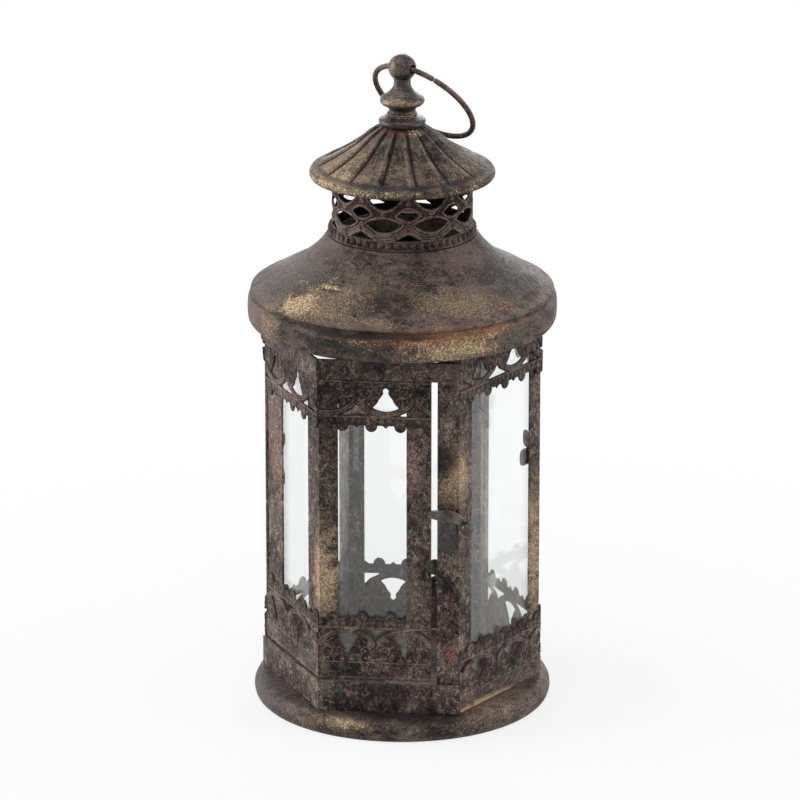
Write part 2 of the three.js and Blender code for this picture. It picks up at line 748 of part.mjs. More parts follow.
function capOutline() {
  const slope = CAP_CROWN_Z - CAP_BOTTOM;
  const reach = CAP_RADIUS - CAP_CROWN_RADIUS;
  const at = (out, drop) => [CAP_CROWN_RADIUS + reach * out, CAP_CROWN_Z - slope * drop];
  return [
    [STUD_RADIUS + FIT, CAP_CROWN_Z + 0.4],
    [CAP_CROWN_RADIUS - 1.5, CAP_CROWN_Z + 0.4],
    at(0, 0),
    at(0.3, 0.31),
    at(0.6, 0.59),
    at(0.91, 0.841),
    at(0.983, 0.915),
    at(1, 0.95),
    at(0.985, 1),
  ];
}

// Each pleat rises slowly to a ridge and falls off sharply, fading out before the rim
function pleat(share, radius) {
  const ridge = share < 0.67 ? share / 0.67 : (1 - share) / 0.33;
  const start = THREE.MathUtils.smoothstep(radius, CAP_CROWN_RADIUS, CAP_CROWN_RADIUS + PLEAT_START);
  const end = 1 - THREE.MathUtils.smoothstep(radius, CAP_RADIUS * 0.84, CAP_RADIUS * 0.93);
  return PLEAT_HEIGHT * ridge * start * end;
}

function buildCap() {
  const outline = capOutline();
  const loop = [...outline, ...innerSkin(outline, CAP_SHEET)];
  const steps = CAP_PLEATS * PLEAT_STEPS;
  const positions = [];
  const index = [];
  for (let j = 0; j < steps; j++) {
    const turn = radians(PLEAT_TURN) + 2 * Math.PI * j / steps;
    const share = (j % PLEAT_STEPS) / PLEAT_STEPS;
    for (const [radius, height] of loop) {
      positions.push(radius * Math.cos(turn), radius * Math.sin(turn), height + pleat(share, radius));
    }
  }
  const count = loop.length;
  for (let j = 0; j < steps; j++) {
    const here = j * count;
    const next = ((j + 1) % steps) * count;
    for (let i = 0; i < count; i++) {
      const k = (i + 1) % count;
      index.push(here + i, here + k, next + i, here + k, next + k, next + i);
    }
  }
  const shell = new THREE.BufferGeometry();
  shell.setAttribute('position', new THREE.Float32BufferAttribute(positions, 3));
  shell.setIndex(index);
  shell.computeVertexNormals();
  addPiece('cap', shell, 'agedIron');
}

// Finial: a turned stem with a cross-bored ball, held by a nut under the cap

const finialFoot = CAP_CROWN_Z + 0.4 + FIT;
const eyeZ = finialFoot + BALL_RISE;
const nutTop = CAP_CROWN_Z + 0.4 - CAP_SHEET - FIT;
const eyeAxis = new THREE.Vector3(Math.sin(radians(EYE_TURN)), -Math.cos(radians(EYE_TURN)), 0);

function finialProfile() {
  const neckDrop = Math.sqrt(BALL_RADIUS * BALL_RADIUS - FINIAL_NECK * FINIAL_NECK);
  const ball = [];
  const start = Math.atan2(-neckDrop, FINIAL_NECK);
  for (let i = 0; i <= 8; i++) {
    const angle = start + (Math.PI / 2 - start) * i / 8;
    ball.push([Math.max(BALL_RADIUS * Math.cos(angle), 0), eyeZ + BALL_RADIUS * Math.sin(angle)]);
  }
  ball[8][0] = 0;
  const stem = [
    [0.78, 0], [0.87, -0.035], [0.965, -0.03], [1, 0.025], [0.965, 0.075], [0.728, 0.118], [0.64, 0.161],
    [0.57, 0.22],
    [0.632, 0.286], [0.877, 0.344], [0.947, 0.407], [0.877, 0.473], [0.596, 0.549], [0.395, 0.659],
  ].map(([out, up]) => [FINIAL_FOOT_RADIUS * out, finialFoot + BALL_RISE * up]);
  const studEnd = nutTop - NUT_HEIGHT - 1;
  return [[0, studEnd], [STUD_RADIUS, studEnd], [STUD_RADIUS, finialFoot], ...stem, ...ball];
}

function buildFinial() {
  const bore = new THREE.CylinderGeometry(EYE_RADIUS, EYE_RADIUS, 4 * BALL_RADIUS, 16);
  bore.rotateZ(radians(EYE_TURN)).translate(0, 0, eyeZ);
  addPiece('finial', toGeometry(cutBy(toSolid(turned(finialProfile(), 24)), [bore])), 'agedIron');

  const hexagon = new THREE.CylinderGeometry(NUT_RADIUS, NUT_RADIUS, NUT_HEIGHT, 6);
  hexagon.rotateX(Math.PI / 2).translate(0, 0, nutTop - NUT_HEIGHT / 2);
  const thread = upright(STUD_RADIUS + FIT, nutTop - NUT_HEIGHT - 1, nutTop + 1, 14, 0, 0);
  addPiece('finial_nut', toGeometry(cutBy(toSolid(hexagon), [thread])), 'wire');
}

// Carry ring: a wire loop with butted ends, through the finial's eye and lying on the cap

function buildRing() {
  const drop = radians(RING_DROP);
  const out = new THREE.Vector3(-eyeAxis.y, eyeAxis.x, 0);
  const down = out.clone().multiplyScalar(Math.cos(drop)).add(new THREE.Vector3(0, 0, -Math.sin(drop)));
  const sag = (RING_RADIUS - Math.sqrt(RING_RADIUS * RING_RADIUS - BALL_RADIUS * BALL_RADIUS)) / 2;
  const centre = down.clone().multiplyScalar(RING_RADIUS - sag).add(new THREE.Vector3(0, 0, eyeZ));
  const buttAngle = radians(62);
  const gap = FIT / RING_RADIUS;
  const path = new THREE.Curve();
  path.getPoint = (share, target = new THREE.Vector3()) => {
    const angle = buttAngle + gap / 2 + (2 * Math.PI - gap) * share;
    return target.copy(centre)
      .addScaledVector(down, -RING_RADIUS * Math.cos(angle))
      .addScaledVector(eyeAxis, RING_RADIUS * Math.sin(angle));
  };
  const section = new THREE.Shape();
  section.absarc(0, 0, RING_WIRE, 0, 2 * Math.PI, false);
  const round = new THREE.Shape(section.getPoints(4).slice(0, -1));
  const wire = new THREE.ExtrudeGeometry(round, { steps: 44, extrudePath: path, bevelEnabled: false });
  addPiece('carry_ring', wire, 'wire');
}

buildBase();
buildPosts();
buildPanes();
buildFixedStrips();
buildBand('door_sill', floorZ, SILL_TOP);
buildBand('door_header', DOOR_TOP + FIT, DOOR_TOP + FIT + HEADER_HEIGHT);
buildDoorFrame();
buildDoorGlass();
buildDoorStrips();
HINGE_BOTTOMS.forEach((bottom, i) => buildHinge(['lower', 'upper'][i], bottom));
buildLatchPlate();
buildLatchRivet();
buildLatchLever();
buildRoof();
buildCollar();
buildCap();
buildFinial();
buildRing();

export default lantern;
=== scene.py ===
# %% [markdown]
# # A six-sided candle lantern
# The lantern is made of folded and spun sheet iron, pierced ornament strips, clear glass and a little
# wire hardware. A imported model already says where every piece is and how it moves. This lesson dresses
# that model: each step makes one piece, or one finish, and lets it stand for the plain solid.

# %% Load the frame and keep its size
import json
import math

import bmesh
import bpy
import numpy as np
from mathutils import Matrix, Vector, noise


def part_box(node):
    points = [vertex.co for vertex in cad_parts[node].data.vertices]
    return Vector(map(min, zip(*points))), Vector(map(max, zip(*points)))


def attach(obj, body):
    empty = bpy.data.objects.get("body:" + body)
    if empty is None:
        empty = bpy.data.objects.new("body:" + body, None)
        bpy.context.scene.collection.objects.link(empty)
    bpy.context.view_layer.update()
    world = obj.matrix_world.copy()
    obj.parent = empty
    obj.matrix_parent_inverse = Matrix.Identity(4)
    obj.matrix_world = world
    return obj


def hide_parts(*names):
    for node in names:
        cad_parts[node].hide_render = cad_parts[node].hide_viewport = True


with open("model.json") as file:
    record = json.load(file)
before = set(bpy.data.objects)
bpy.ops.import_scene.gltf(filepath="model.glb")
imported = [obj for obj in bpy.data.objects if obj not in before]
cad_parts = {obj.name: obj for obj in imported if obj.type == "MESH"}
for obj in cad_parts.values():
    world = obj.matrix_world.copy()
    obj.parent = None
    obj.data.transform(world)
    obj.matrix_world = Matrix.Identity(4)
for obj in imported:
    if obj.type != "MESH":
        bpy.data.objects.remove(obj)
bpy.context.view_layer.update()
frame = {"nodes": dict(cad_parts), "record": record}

# %% [markdown]
# ## Sizes that many pieces share
# Sheet metal is drawn in millimetres, and Blender works in metres, so every mesh is scaled once, when it
# is made. The body is a regular hexagon. A place on one of its faces is given by how far it lies along
# the face and how far out from the lantern's axis, which is easier to read than x and y.

# %% Shared sizes of the body
MM = 0.001
BODY_RADIUS = 68.0
FIT = 0.3
HALF_SIDE = math.tan(math.radians(30))
FACE_TURN = {"front": 0, "right": 60, "back_right": 120, "back": 180, "back_left": 240, "left": 300}
FIXED_FACES = ["right", "back_right", "back", "back_left"]

body_apothem = BODY_RADIUS * math.cos(math.radians(30))
trim_inner = body_apothem + FIT


def on_face(face, along, apothem):
    """The x and y of a place on a face of the hexagon, in millimetres."""
    turn = math.radians(FACE_TURN[face])
    return (
        along * math.cos(turn) + apothem * math.sin(turn),
        along * math.sin(turn) - apothem * math.cos(turn),
    )


print("body apothem", round(body_apothem, 2), "mm, half a face", round(body_apothem * HALF_SIDE, 2), "mm")

# %% Who each node belongs to
body_of = {node: body for body, nodes in frame["record"]["behaviour"]["bodies"].items() for node in nodes}


def settle(piece, node, material):
    """Gives a finished piece its material and its body, and lets it stand for its node."""
    piece.data.materials.clear()
    piece.data.materials.append(material)
    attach(piece, body_of[node])
    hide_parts(node)
    print(piece.name, "stands for", node, "with", len(piece.data.polygons), "faces")


def new_object(name, data):
    """Adds an object with this data to the scene."""
    made = bpy.data.objects.new(name, data)
    bpy.context.scene.collection.objects.link(made)
    return made


# %% [markdown]
# ## Camera
# The photograph looks down on the lantern from a little to its right, through a long lens, so upright
# edges stay nearly parallel. A camera far away with a long focal length gives the same picture, and it
# aims a little below the middle, as the photograph does.

# %% The camera at the photograph's angle
CAMERA_DISTANCE = 3.0
CAMERA_LENS = 275.0
CAMERA_SENSOR = 36.0
CAMERA_TURN = math.radians(6.25)
CAMERA_LIFT = math.radians(18.27)
CAMERA_AIM = (-1.1 * MM, -0.1 * MM, 152.2 * MM)

camera_data = bpy.data.cameras.new("photo_camera")
camera_data.lens = CAMERA_LENS
camera_data.sensor_width = CAMERA_SENSOR
camera = new_object("photo_camera", camera_data)
toward_camera = Vector((
    math.sin(CAMERA_TURN) * math.cos(CAMERA_LIFT),
    -math.cos(CAMERA_TURN) * math.cos(CAMERA_LIFT),
    math.sin(CAMERA_LIFT),
))
camera.location = Vector(CAMERA_AIM) + CAMERA_DISTANCE * toward_camera
camera.rotation_euler = toward_camera.to_track_quat("Z", "Y").to_euler()
bpy.context.scene.camera = camera
bpy.context.scene.view_settings.view_transform = "Standard"
print("camera at", camera.location[:])

# %% [markdown]
# ## Helpers for shader nodes
# Materials here are built from many small nodes. A few helpers keep that readable: the first adds a node,
# sets its properties and fills its sockets, and the others make the kinds that come back most often. The
# Geometry Nodes trees further on use them too.

# %% Node helpers


def add_node(tree, kind, sockets=None, **settings):
    """Adds a node, sets its properties, and fills its sockets with values or links."""
    made = tree.nodes.new(kind)
    for name, value in settings.items():
        setattr(made, name, value)
    for key, value in (sockets or {}).items():
        if isinstance(value, bpy.types.NodeSocket):
            tree.links.new(value, made.inputs[key])
        else:
            made.inputs[key].default_value = value
    return made


def new_tree(name, kind, inputs, outputs):
    """Makes an empty node group. Each of its sockets is given as a name and the type of its value."""
    made = bpy.data.node_groups.new(name, kind + "NodeTree")
    for in_out, sockets in (("INPUT", inputs), ("OUTPUT", outputs)):
        for label, value_type in sockets.items():
            made.interface.new_socket(label, in_out=in_out, socket_type="NodeSocket" + value_type)
    return made


def maths(tree, operation, first, second=0.0, clamp=False):
    """One step of arithmetic on numbers or outputs."""
    made = add_node(tree, "ShaderNodeMath", {0: first, 1: second}, operation=operation, use_clamp=clamp)
    return made.outputs[0]


def vector_maths(tree, operation, first, second=(0, 0, 0)):
    """One step of arithmetic on vectors. A length comes out as a number."""
    made = add_node(tree, "ShaderNodeVectorMath", {0: first, 1: second}, operation=operation)
    return made.outputs["Value" if operation == "LENGTH" else "Vector"]


def weighted(tree, *terms):
    """The sum of several values, each times its weight."""
    total, *others = [maths(tree, "MULTIPLY", value, weight) for value, weight in terms]
    for term in others:
        total = maths(tree, "ADD", total, term)
    return total


def own_place(tree):
    """A point's place in its own piece, in metres."""
    return add_node(tree, "ShaderNodeTexCoord").outputs["Object"]


def grain(tree, place, scale, detail=3.0, shift=0.0, bend=0.0):
    """A noise pattern from 0 to 1. The shift moves it, and the bend draws its spots into strokes."""
    moved = vector_maths(tree, "ADD", place, (shift, shift * 0.7, shift * 0.3))
    return add_node(
        tree, "ShaderNodeTexNoise",
        {"Vector": moved, "Scale": scale, "Detail": detail, "Roughness": 0.6, "Distortion": bend},
    ).outputs["Fac"]


def ramp(tree, value, low, high, start=0.0, end=1.0):
    """Turns the stretch of a value between low and high into a soft step from start to end."""
    return add_node(
        tree, "ShaderNodeMapRange",
        {"Value": value, "From Min": low, "From Max": high, "To Min": start, "To Max": end},
        interpolation_type="SMOOTHSTEP",
    ).outputs["Result"]


def paint_over(tree, mask, under, over, mode="MIX"):
    """Lays one colour over another where the mask is 1."""
    return add_node(
        tree, "ShaderNodeMix", {0: mask, 6: under, 7: over}, data_type="RGBA", blend_type=mode,
    ).outputs[2]


# %% [markdown]
# ## Floor, background and light
# The lantern stands on a plain pale floor under soft studio light. The background should be white without
# pouring more light on the lantern, so the world is white only to camera, glossy and transmitted rays,
# and dimmer to the rays that light the metal. The floor is whitened for the same rays, and it fades out
# away from the lantern, so it has no visible edge but still takes the shadow.

# %% World
WORLD_LIGHT = 0.30
WHITE = (1, 1, 1, 1)


def seen_by_camera(tree):
    """1 for the rays that show a thing to the camera, straight or by way of metal or glass, or else 0."""
    ray = add_node(tree, "ShaderNodeLightPath")
    seen = maths(tree, "MAXIMUM", ray.outputs["Is Camera Ray"], ray.outputs["Is Glossy Ray"])
    return maths(tree, "MAXIMUM", seen, ray.outputs["Is Transmission Ray"])


world = bpy.data.worlds.new("studio")
bpy.context.scene.world = world
world.use_nodes = True
sky = world.node_tree
sky.nodes.clear()
strength = ramp(sky, seen_by_camera(sky), 0.0, 1.0, WORLD_LIGHT, 1.0)
glow = add_node(sky, "ShaderNodeBackground", {"Color": WHITE, "Strength": strength})
add_node(sky, "ShaderNodeOutputWorld", {"Surface": glow.outputs[0]})
print("world lights the metal at", WORLD_LIGHT)

# %% Soft lamps
LAMP_AIM = Vector((0, 0, 0.15))


def soft_lamp(name, place, width, height, power):
    """A rectangle of light that faces the lantern, with its sides in metres and its power in watts."""
    lamp = bpy.data.lights.new(name, "AREA")
    lamp.shape = "RECTANGLE"
    lamp.size = width
    lamp.size_y = height
    lamp.energy = power
    holder = new_object(name, lamp)
    holder.location = place
    holder.rotation_euler = (Vector(place) - LAMP_AIM).to_track_quat("Z", "Y").to_euler()


soft_lamp("left_softbox", (-1.5, 0.0, 0.5), 0.9, 1.1, 17)
soft_lamp("right_softbox", (1.5, 0.05, 0.5), 0.9, 1.1, 9)
soft_lamp("top_softbox", (-0.1, -0.35, 1.5), 1.0, 0.9, 6)
soft_lamp("back_softbox", (0.0, 1.5, 0.6), 1.2, 0.9, 9)

# %% Floor
FLOOR_RADIUS = 0.9
FLOOR_SIDES = 64
FLOOR_CLEAR_FROM = 0.12
FLOOR_CLEAR_TO = 0.45
FLOOR_WHITENESS = 0.8
FLOOR_GREY = (0.93, 0.93, 0.93, 1)

floor_turns = np.arange(FLOOR_SIDES) * 2 * math.pi / FLOOR_SIDES
floor_rim = [(FLOOR_RADIUS * math.cos(turn), FLOOR_RADIUS * math.sin(turn), 0) for turn in floor_turns]
floor_mesh = bpy.data.meshes.new("floor")
floor_mesh.from_pydata(floor_rim, [], [list(range(FLOOR_SIDES))])
floor = new_object("floor", floor_mesh)

floor_paint = bpy.data.materials.new("pale_floor")
floor_paint.use_nodes = True
tree = floor_paint.node_tree
tree.nodes.clear()
fade = ramp(tree, vector_maths(tree, "LENGTH", own_place(tree)), FLOOR_CLEAR_FROM, FLOOR_CLEAR_TO)
matt = add_node(tree, "ShaderNodeBsdfDiffuse", {"Color": FLOOR_GREY})
white = add_node(tree, "ShaderNodeEmission", {"Color": WHITE, "Strength": 1.0})
whiteness = maths(tree, "MULTIPLY", seen_by_camera(tree), FLOOR_WHITENESS)
paled = add_node(tree, "ShaderNodeMixShader", {0: whiteness, 1: matt.outputs[0], 2: white.outputs[0]})
clear = add_node(tree, "ShaderNodeBsdfTransparent", {"Color": WHITE})
mixed = add_node(tree, "ShaderNodeMixShader", {0: fade, 1: paled.outputs[0], 2: clear.outputs[0]})
add_node(tree, "ShaderNodeOutputMaterial", {"Surface": mixed.outputs[0]})
floor_mesh.materials.append(floor_paint)
print("floor radius", FLOOR_RADIUS, "m")

# %% [markdown]
# ## Aged paint
# All the metal has one finish: a dark purple-brown paint that has aged. It is dark and light in patches a
# few centimetres wide, those are broken into streaks a few millimetres long, and thin curved strokes of
# pinkish dust lie on top. Maroon and grey-green show through in places. Noise at each of these grains is
# laid one over another in a node group, so each piece can ask for more rust or more dust while the whole
# lantern still looks painted in one go. The group gives out only a colour, a roughness, a height and its
# finest grit, and every material keeps its own shader.

# %% The aged paint group
NEAR_BLACK = (0.012, 0.009, 0.010, 1)
BROWN = (0.178, 0.126, 0.106, 1)
MAROON = (0.150, 0.042, 0.036, 1)
GREY_GREEN = (0.115, 0.124, 0.098, 1)
PALE_DUST = (0.420, 0.310, 0.265, 1)

aged_paint = new_tree(
    "aged_paint", "Shader",
    {"Stretch": "Vector", "Lightness": "Float", "Rust": "Float", "Patina": "Float", "Dust": "Float"},
    {"Color": "Color", "Roughness": "Float", "Height": "Float", "Grit": "Float"},
)
tree = aged_paint
given = add_node(tree, "NodeGroupInput")
spot = own_place(tree)
place = vector_maths(tree, "MULTIPLY", spot, given.outputs["Stretch"])
zone = grain(tree, spot, scale=26, detail=2)
cloud = grain(tree, place, scale=75, shift=1.3, bend=0.6)
streak = grain(tree, place, scale=250, detail=4, shift=2.1, bend=0.8)
rust_cloud = grain(tree, place, scale=170, shift=2.9, bend=1.2)
green_cloud = grain(tree, place, scale=150, shift=7.7, bend=1.2)
stroke_field = grain(tree, place, scale=225, detail=1, shift=4.1, bend=1.9)
stroke_break = grain(tree, place, scale=340, detail=2, shift=9.3, bend=0.4)
flecks = grain(tree, place, scale=370, detail=2, shift=5.2, bend=0.9)
grit = grain(tree, spot, scale=1500, detail=2, shift=8.3, bend=0.3)

# %% Layers of colour in the aged paint
shade = weighted(tree, (zone, 0.45), (cloud, 0.40), (streak, 0.45),
                 (maths(tree, "SUBTRACT", grit, 0.5), 0.22), (given.outputs["Lightness"], 1.0))
colour = paint_over(tree, ramp(tree, shade, 0.54, 0.78), NEAR_BLACK, BROWN)
for field, low, high, amount, tone in [
    (rust_cloud, 0.56, 0.66, "Rust", MAROON),
    (green_cloud, 0.52, 0.64, "Patina", GREY_GREEN),
]:
    mask = maths(tree, "MULTIPLY", ramp(tree, field, low, high), given.outputs[amount], clamp=True)
    colour = paint_over(tree, mask, colour, tone)
off_line = maths(tree, "ABSOLUTE", maths(tree, "SUBTRACT", stroke_field, 0.5))
lines = ramp(tree, off_line, 0.010, 0.050, 1.0, 0.0)
strokes = maths(tree, "MULTIPLY", lines, ramp(tree, stroke_break, 0.46, 0.56))
strokes = maths(tree, "MAXIMUM", strokes, ramp(tree, flecks, 0.575, 0.65, 0.0, 0.85))
dusty_here = ramp(tree, weighted(tree, (cloud, 1.0), (zone, 0.6)), 0.68, 0.92, 0.45, 1.25)
dusted = maths(tree, "MULTIPLY", strokes, dusty_here)
dust_mask = maths(tree, "MULTIPLY", dusted, given.outputs["Dust"], clamp=True)
colour = paint_over(tree, dust_mask, colour, PALE_DUST)
colour = paint_over(tree, 1.0, colour, ramp(tree, grit, 0.36, 0.64, 0.72, 1.28), "MULTIPLY")
add_node(tree, "NodeGroupOutput", {
    "Color": colour,
    "Roughness": ramp(tree, streak, 0.3, 0.7, 0.44, 0.66),
    "Height": weighted(tree, (strokes, 0.4), (streak, 1.4), (grit, 0.5)),
    "Grit": grit,
})
print("aged paint group:", len(aged_paint.nodes), "nodes")

# %% [markdown]
# Where hands and cloths have rubbed the paint, warmer tones show: gold where it is brightest, bronze, olive
# or rusty orange round it. Rubbing takes the high grains first, so a patch thins out in dots towards its
# edge and keeps dark pinholes inside. A second small group makes the ragged mask of a patch round a point
# of the piece. A third turns that mask into dots over a thin haze. Some pieces also have darker patches,
# which are painted shade, and the base and the roof have paler grey patches on the left, which are a
# painted sheen. The same two groups lay them.

# %% The patch group, for wear and for painted shade and sheen
wear_and_painted_light_patch = new_tree("wear_and_painted_light_patch", "Shader", {"Centre": "Vector", "Spread": "Vector"}, {"Mask": "Float"})
tree = wear_and_painted_light_patch
given = add_node(tree, "NodeGroupInput")
place = own_place(tree)
offset = vector_maths(tree, "SUBTRACT", place, given.outputs["Centre"])
away = vector_maths(tree, "LENGTH", vector_maths(tree, "DIVIDE", offset, given.outputs["Spread"]))
lying = vector_maths(tree, "MULTIPLY", place, (1, 1, 2))
raggedness = maths(tree, "SUBTRACT", grain(tree, lying, scale=95, detail=5, shift=9.1), 0.5)
ragged = weighted(tree, (away, 1.0), (raggedness, 2.6))
add_node(tree, "NodeGroupOutput", {"Mask": ramp(tree, ragged, 0.1, 1.45, 1.0, 0.0)})
print("rubbed patch group:", len(wear_and_painted_light_patch.nodes), "nodes")

# %% The stipple group
stipple = new_tree(
    "stipple", "Shader",
    {"Mask": "Float", "Amount": "Float", "Grit": "Float", "Contrast": "Float"}, {"Cover": "Float"},
)
tree = stipple
given = add_node(tree, "NodeGroupInput")
reach = maths(tree, "MULTIPLY", given.outputs["Mask"], given.outputs["Amount"])
grains = maths(tree, "SUBTRACT", given.outputs["Grit"], 0.5)
dots = maths(tree, "ADD", reach, maths(tree, "MULTIPLY", grains, given.outputs["Contrast"]))
# The dotted cover serves rubbed wear and the patches of painted shade and painted sheen alike.
speckled = maths(tree, "MULTIPLY", ramp(tree, dots, 0.26, 0.86), ramp(tree, reach, 0.02, 0.3))
haze = ramp(tree, reach, 0.05, 0.8, 0.0, 0.6)
add_node(tree, "NodeGroupOutput", {"Cover": maths(tree, "MAXIMUM", speckled, haze)})
print("stipple group:", len(stipple.nodes), "nodes")

# %% A painted metal material
GOLD = (0.600, 0.440, 0.270, 1)
BRONZE = (0.300, 0.212, 0.135, 1)
OLIVE = (0.235, 0.170, 0.105, 1)
ORANGE = (0.420, 0.215, 0.110, 1)
SHADOW = (0.020, 0.016, 0.018, 1)
# This grey is a painted sheen, laid on the left sides of the base and the roof.
SHEEN_GREY = (0.115, 0.098, 0.092, 1)
PINK = (0.330, 0.115, 0.105, 1)
DENT_HEIGHT = 0.6 * MM


def painted_metal(name, lightness=0.0, rust=0.5, patina=0.5, dust=0.5, worn=0.3, stretch=(1, 1, 1),
                  patches=(), bump=0.5, metallic=0.1, shine=0.14, dullness=1.0, pinholes=0.3):
    """A metal of aged paint. A patch is a tone, its centre and reach in millimetres, and its strength."""
    made = bpy.data.materials.new(name)
    made.use_nodes = True
    tree = made.node_tree
    shader = tree.nodes["Principled BSDF"]
    shader.inputs["Metallic"].default_value = metallic
    shader.inputs["Specular IOR Level"].default_value = shine
    paint = add_node(tree, "ShaderNodeGroup", {
        "Lightness": lightness, "Rust": rust, "Patina": patina, "Dust": dust, "Stretch": stretch,
    }, node_tree=aged_paint)
    place = own_place(tree)
    coarse_grit = grain(tree, place, scale=950, detail=2, shift=5.9, bend=0.3)
    grit = weighted(tree, (paint.outputs["Grit"], 1 - pinholes), (coarse_grit, pinholes))
    pitted = ramp(tree, grit, 0.40, 0.60, 1 - pinholes, 1.1 + 0.4 * pinholes)

    def dotted(mask, amount):
        """The cover of a patch of wear, painted shade or painted sheen, broken into dots by this metal's own
        grit.
        """
        return add_node(tree, "ShaderNodeGroup", {
            "Mask": mask, "Amount": amount, "Grit": grit, "Contrast": 2.6 + 4.4 * pinholes,
        }, node_tree=stipple).outputs["Cover"]

    scattered = grain(tree, place, scale=40, detail=5, shift=3.3, bend=0.5)
    scattered = ramp(tree, scattered, 0.52, 0.66)
    colour = paint_over(tree, dotted(scattered, worn), paint.outputs["Color"], BRONZE)
    for tone, centre, spread, amount in patches:
        patch = add_node(tree, "ShaderNodeGroup", {
            "Centre": Vector(centre) * MM, "Spread": Vector(spread) * MM,
        }, node_tree=wear_and_painted_light_patch)
        grainy = paint_over(tree, 1.0, tone, pitted, "MULTIPLY")
        colour = paint_over(tree, dotted(patch.outputs["Mask"], amount), colour, grainy)
    tree.links.new(colour, shader.inputs["Base Color"])
    tree.links.new(maths(tree, "MULTIPLY", paint.outputs["Roughness"], dullness), shader.inputs["Roughness"])
    dents = add_node(tree, "ShaderNodeBump", {
        "Strength": bump, "Distance": DENT_HEIGHT, "Height": paint.outputs["Height"],
    })
    tree.links.new(dents.outputs[0], shader.inputs["Normal"])
    return made


def shaded_by_relief(material, low, high, dark, dust=0.0):
    """Paints shade on a metal, darker towards a dark tone where its relief is low, and pale dust, partly a
    painted highlight, where it is high.
    """
    tree = material.node_tree
    shader = tree.nodes["Principled BSDF"]
    colour = shader.inputs["Base Color"].links[0].from_socket
    relief = add_node(tree, "ShaderNodeAttribute", attribute_name="relief").outputs["Fac"]
    painted_shade = paint_over(tree, ramp(tree, relief, low, high), dark, WHITE)
    colour = paint_over(tree, 1.0, colour, painted_shade, "MULTIPLY")
    if dust:
        broken = grain(tree, own_place(tree), scale=420, shift=2.2, bend=0.8)
        broken = ramp(tree, broken, 0.42, 0.56, 0.1, 1.0)
        raised = maths(tree, "MULTIPLY", ramp(tree, relief, 0.3, 0.75), dust)
        colour = paint_over(tree, maths(tree, "MULTIPLY", raised, broken), colour, PALE_DUST)
    tree.links.new(colour, shader.inputs["Base Color"])


# %% [markdown]
# ## Clear glass
# The panes are thin window glass. It is faintly cool, and a film of dust on it veils the dark frames
# behind with grey. A solid slab gives both surfaces' reflections, and a little less than full transmission
# is the dust. Light that only casts shadows goes straight through, so the chamber stays bright.

# %% Glass
GLASS_TINT = (0.975, 0.988, 0.985, 1)
GLASS_SHADE = (0.95, 0.965, 0.96, 1)
GLASS_IOR = 1.47
GLASS_CLEARNESS = 0.988

clear_glass = bpy.data.materials.new("clear_glass")
clear_glass.use_nodes = True
tree = clear_glass.node_tree
pane_shader = tree.nodes["Principled BSDF"]
pane_shader.inputs["Base Color"].default_value = GLASS_TINT
pane_shader.inputs["Roughness"].default_value = 0.0
pane_shader.inputs["IOR"].default_value = GLASS_IOR
pane_shader.inputs["Transmission Weight"].default_value = GLASS_CLEARNESS
passing = add_node(tree, "ShaderNodeBsdfTransparent", {"Color": GLASS_SHADE})
ray = add_node(tree, "ShaderNodeLightPath")
glass_mix = add_node(tree, "ShaderNodeMixShader",
                     {0: ray.outputs["Is Shadow Ray"], 1: pane_shader.outputs[0], 2: passing.outputs[0]})
tree.links.new(glass_mix.outputs[0], tree.nodes["Material Output"].inputs["Surface"])
print("clear glass: IOR", GLASS_IOR)

# %% [markdown]
# ## The metals
# Each group of pieces has its own metal, with its own share of rust, dust and wear. Its patches lie where
# the photograph shows the paint rubbed or dark, and on the far side in the same manner. The rubbed patches
# are wear. The dark SHADOW patches are painted shade, the grey patches on the left are a painted sheen, and
# on the finial the olive and bronze are partly a painted highlight. More pinholes break the wear up into
# coarser dark spots, and less dullness makes a metal smoother, and so shinier.

# %% The metal materials
ROUND_THE_AXIS = (1.0, 1.0, 2.1)
UPRIGHT = (1.2, 1.2, 0.85)

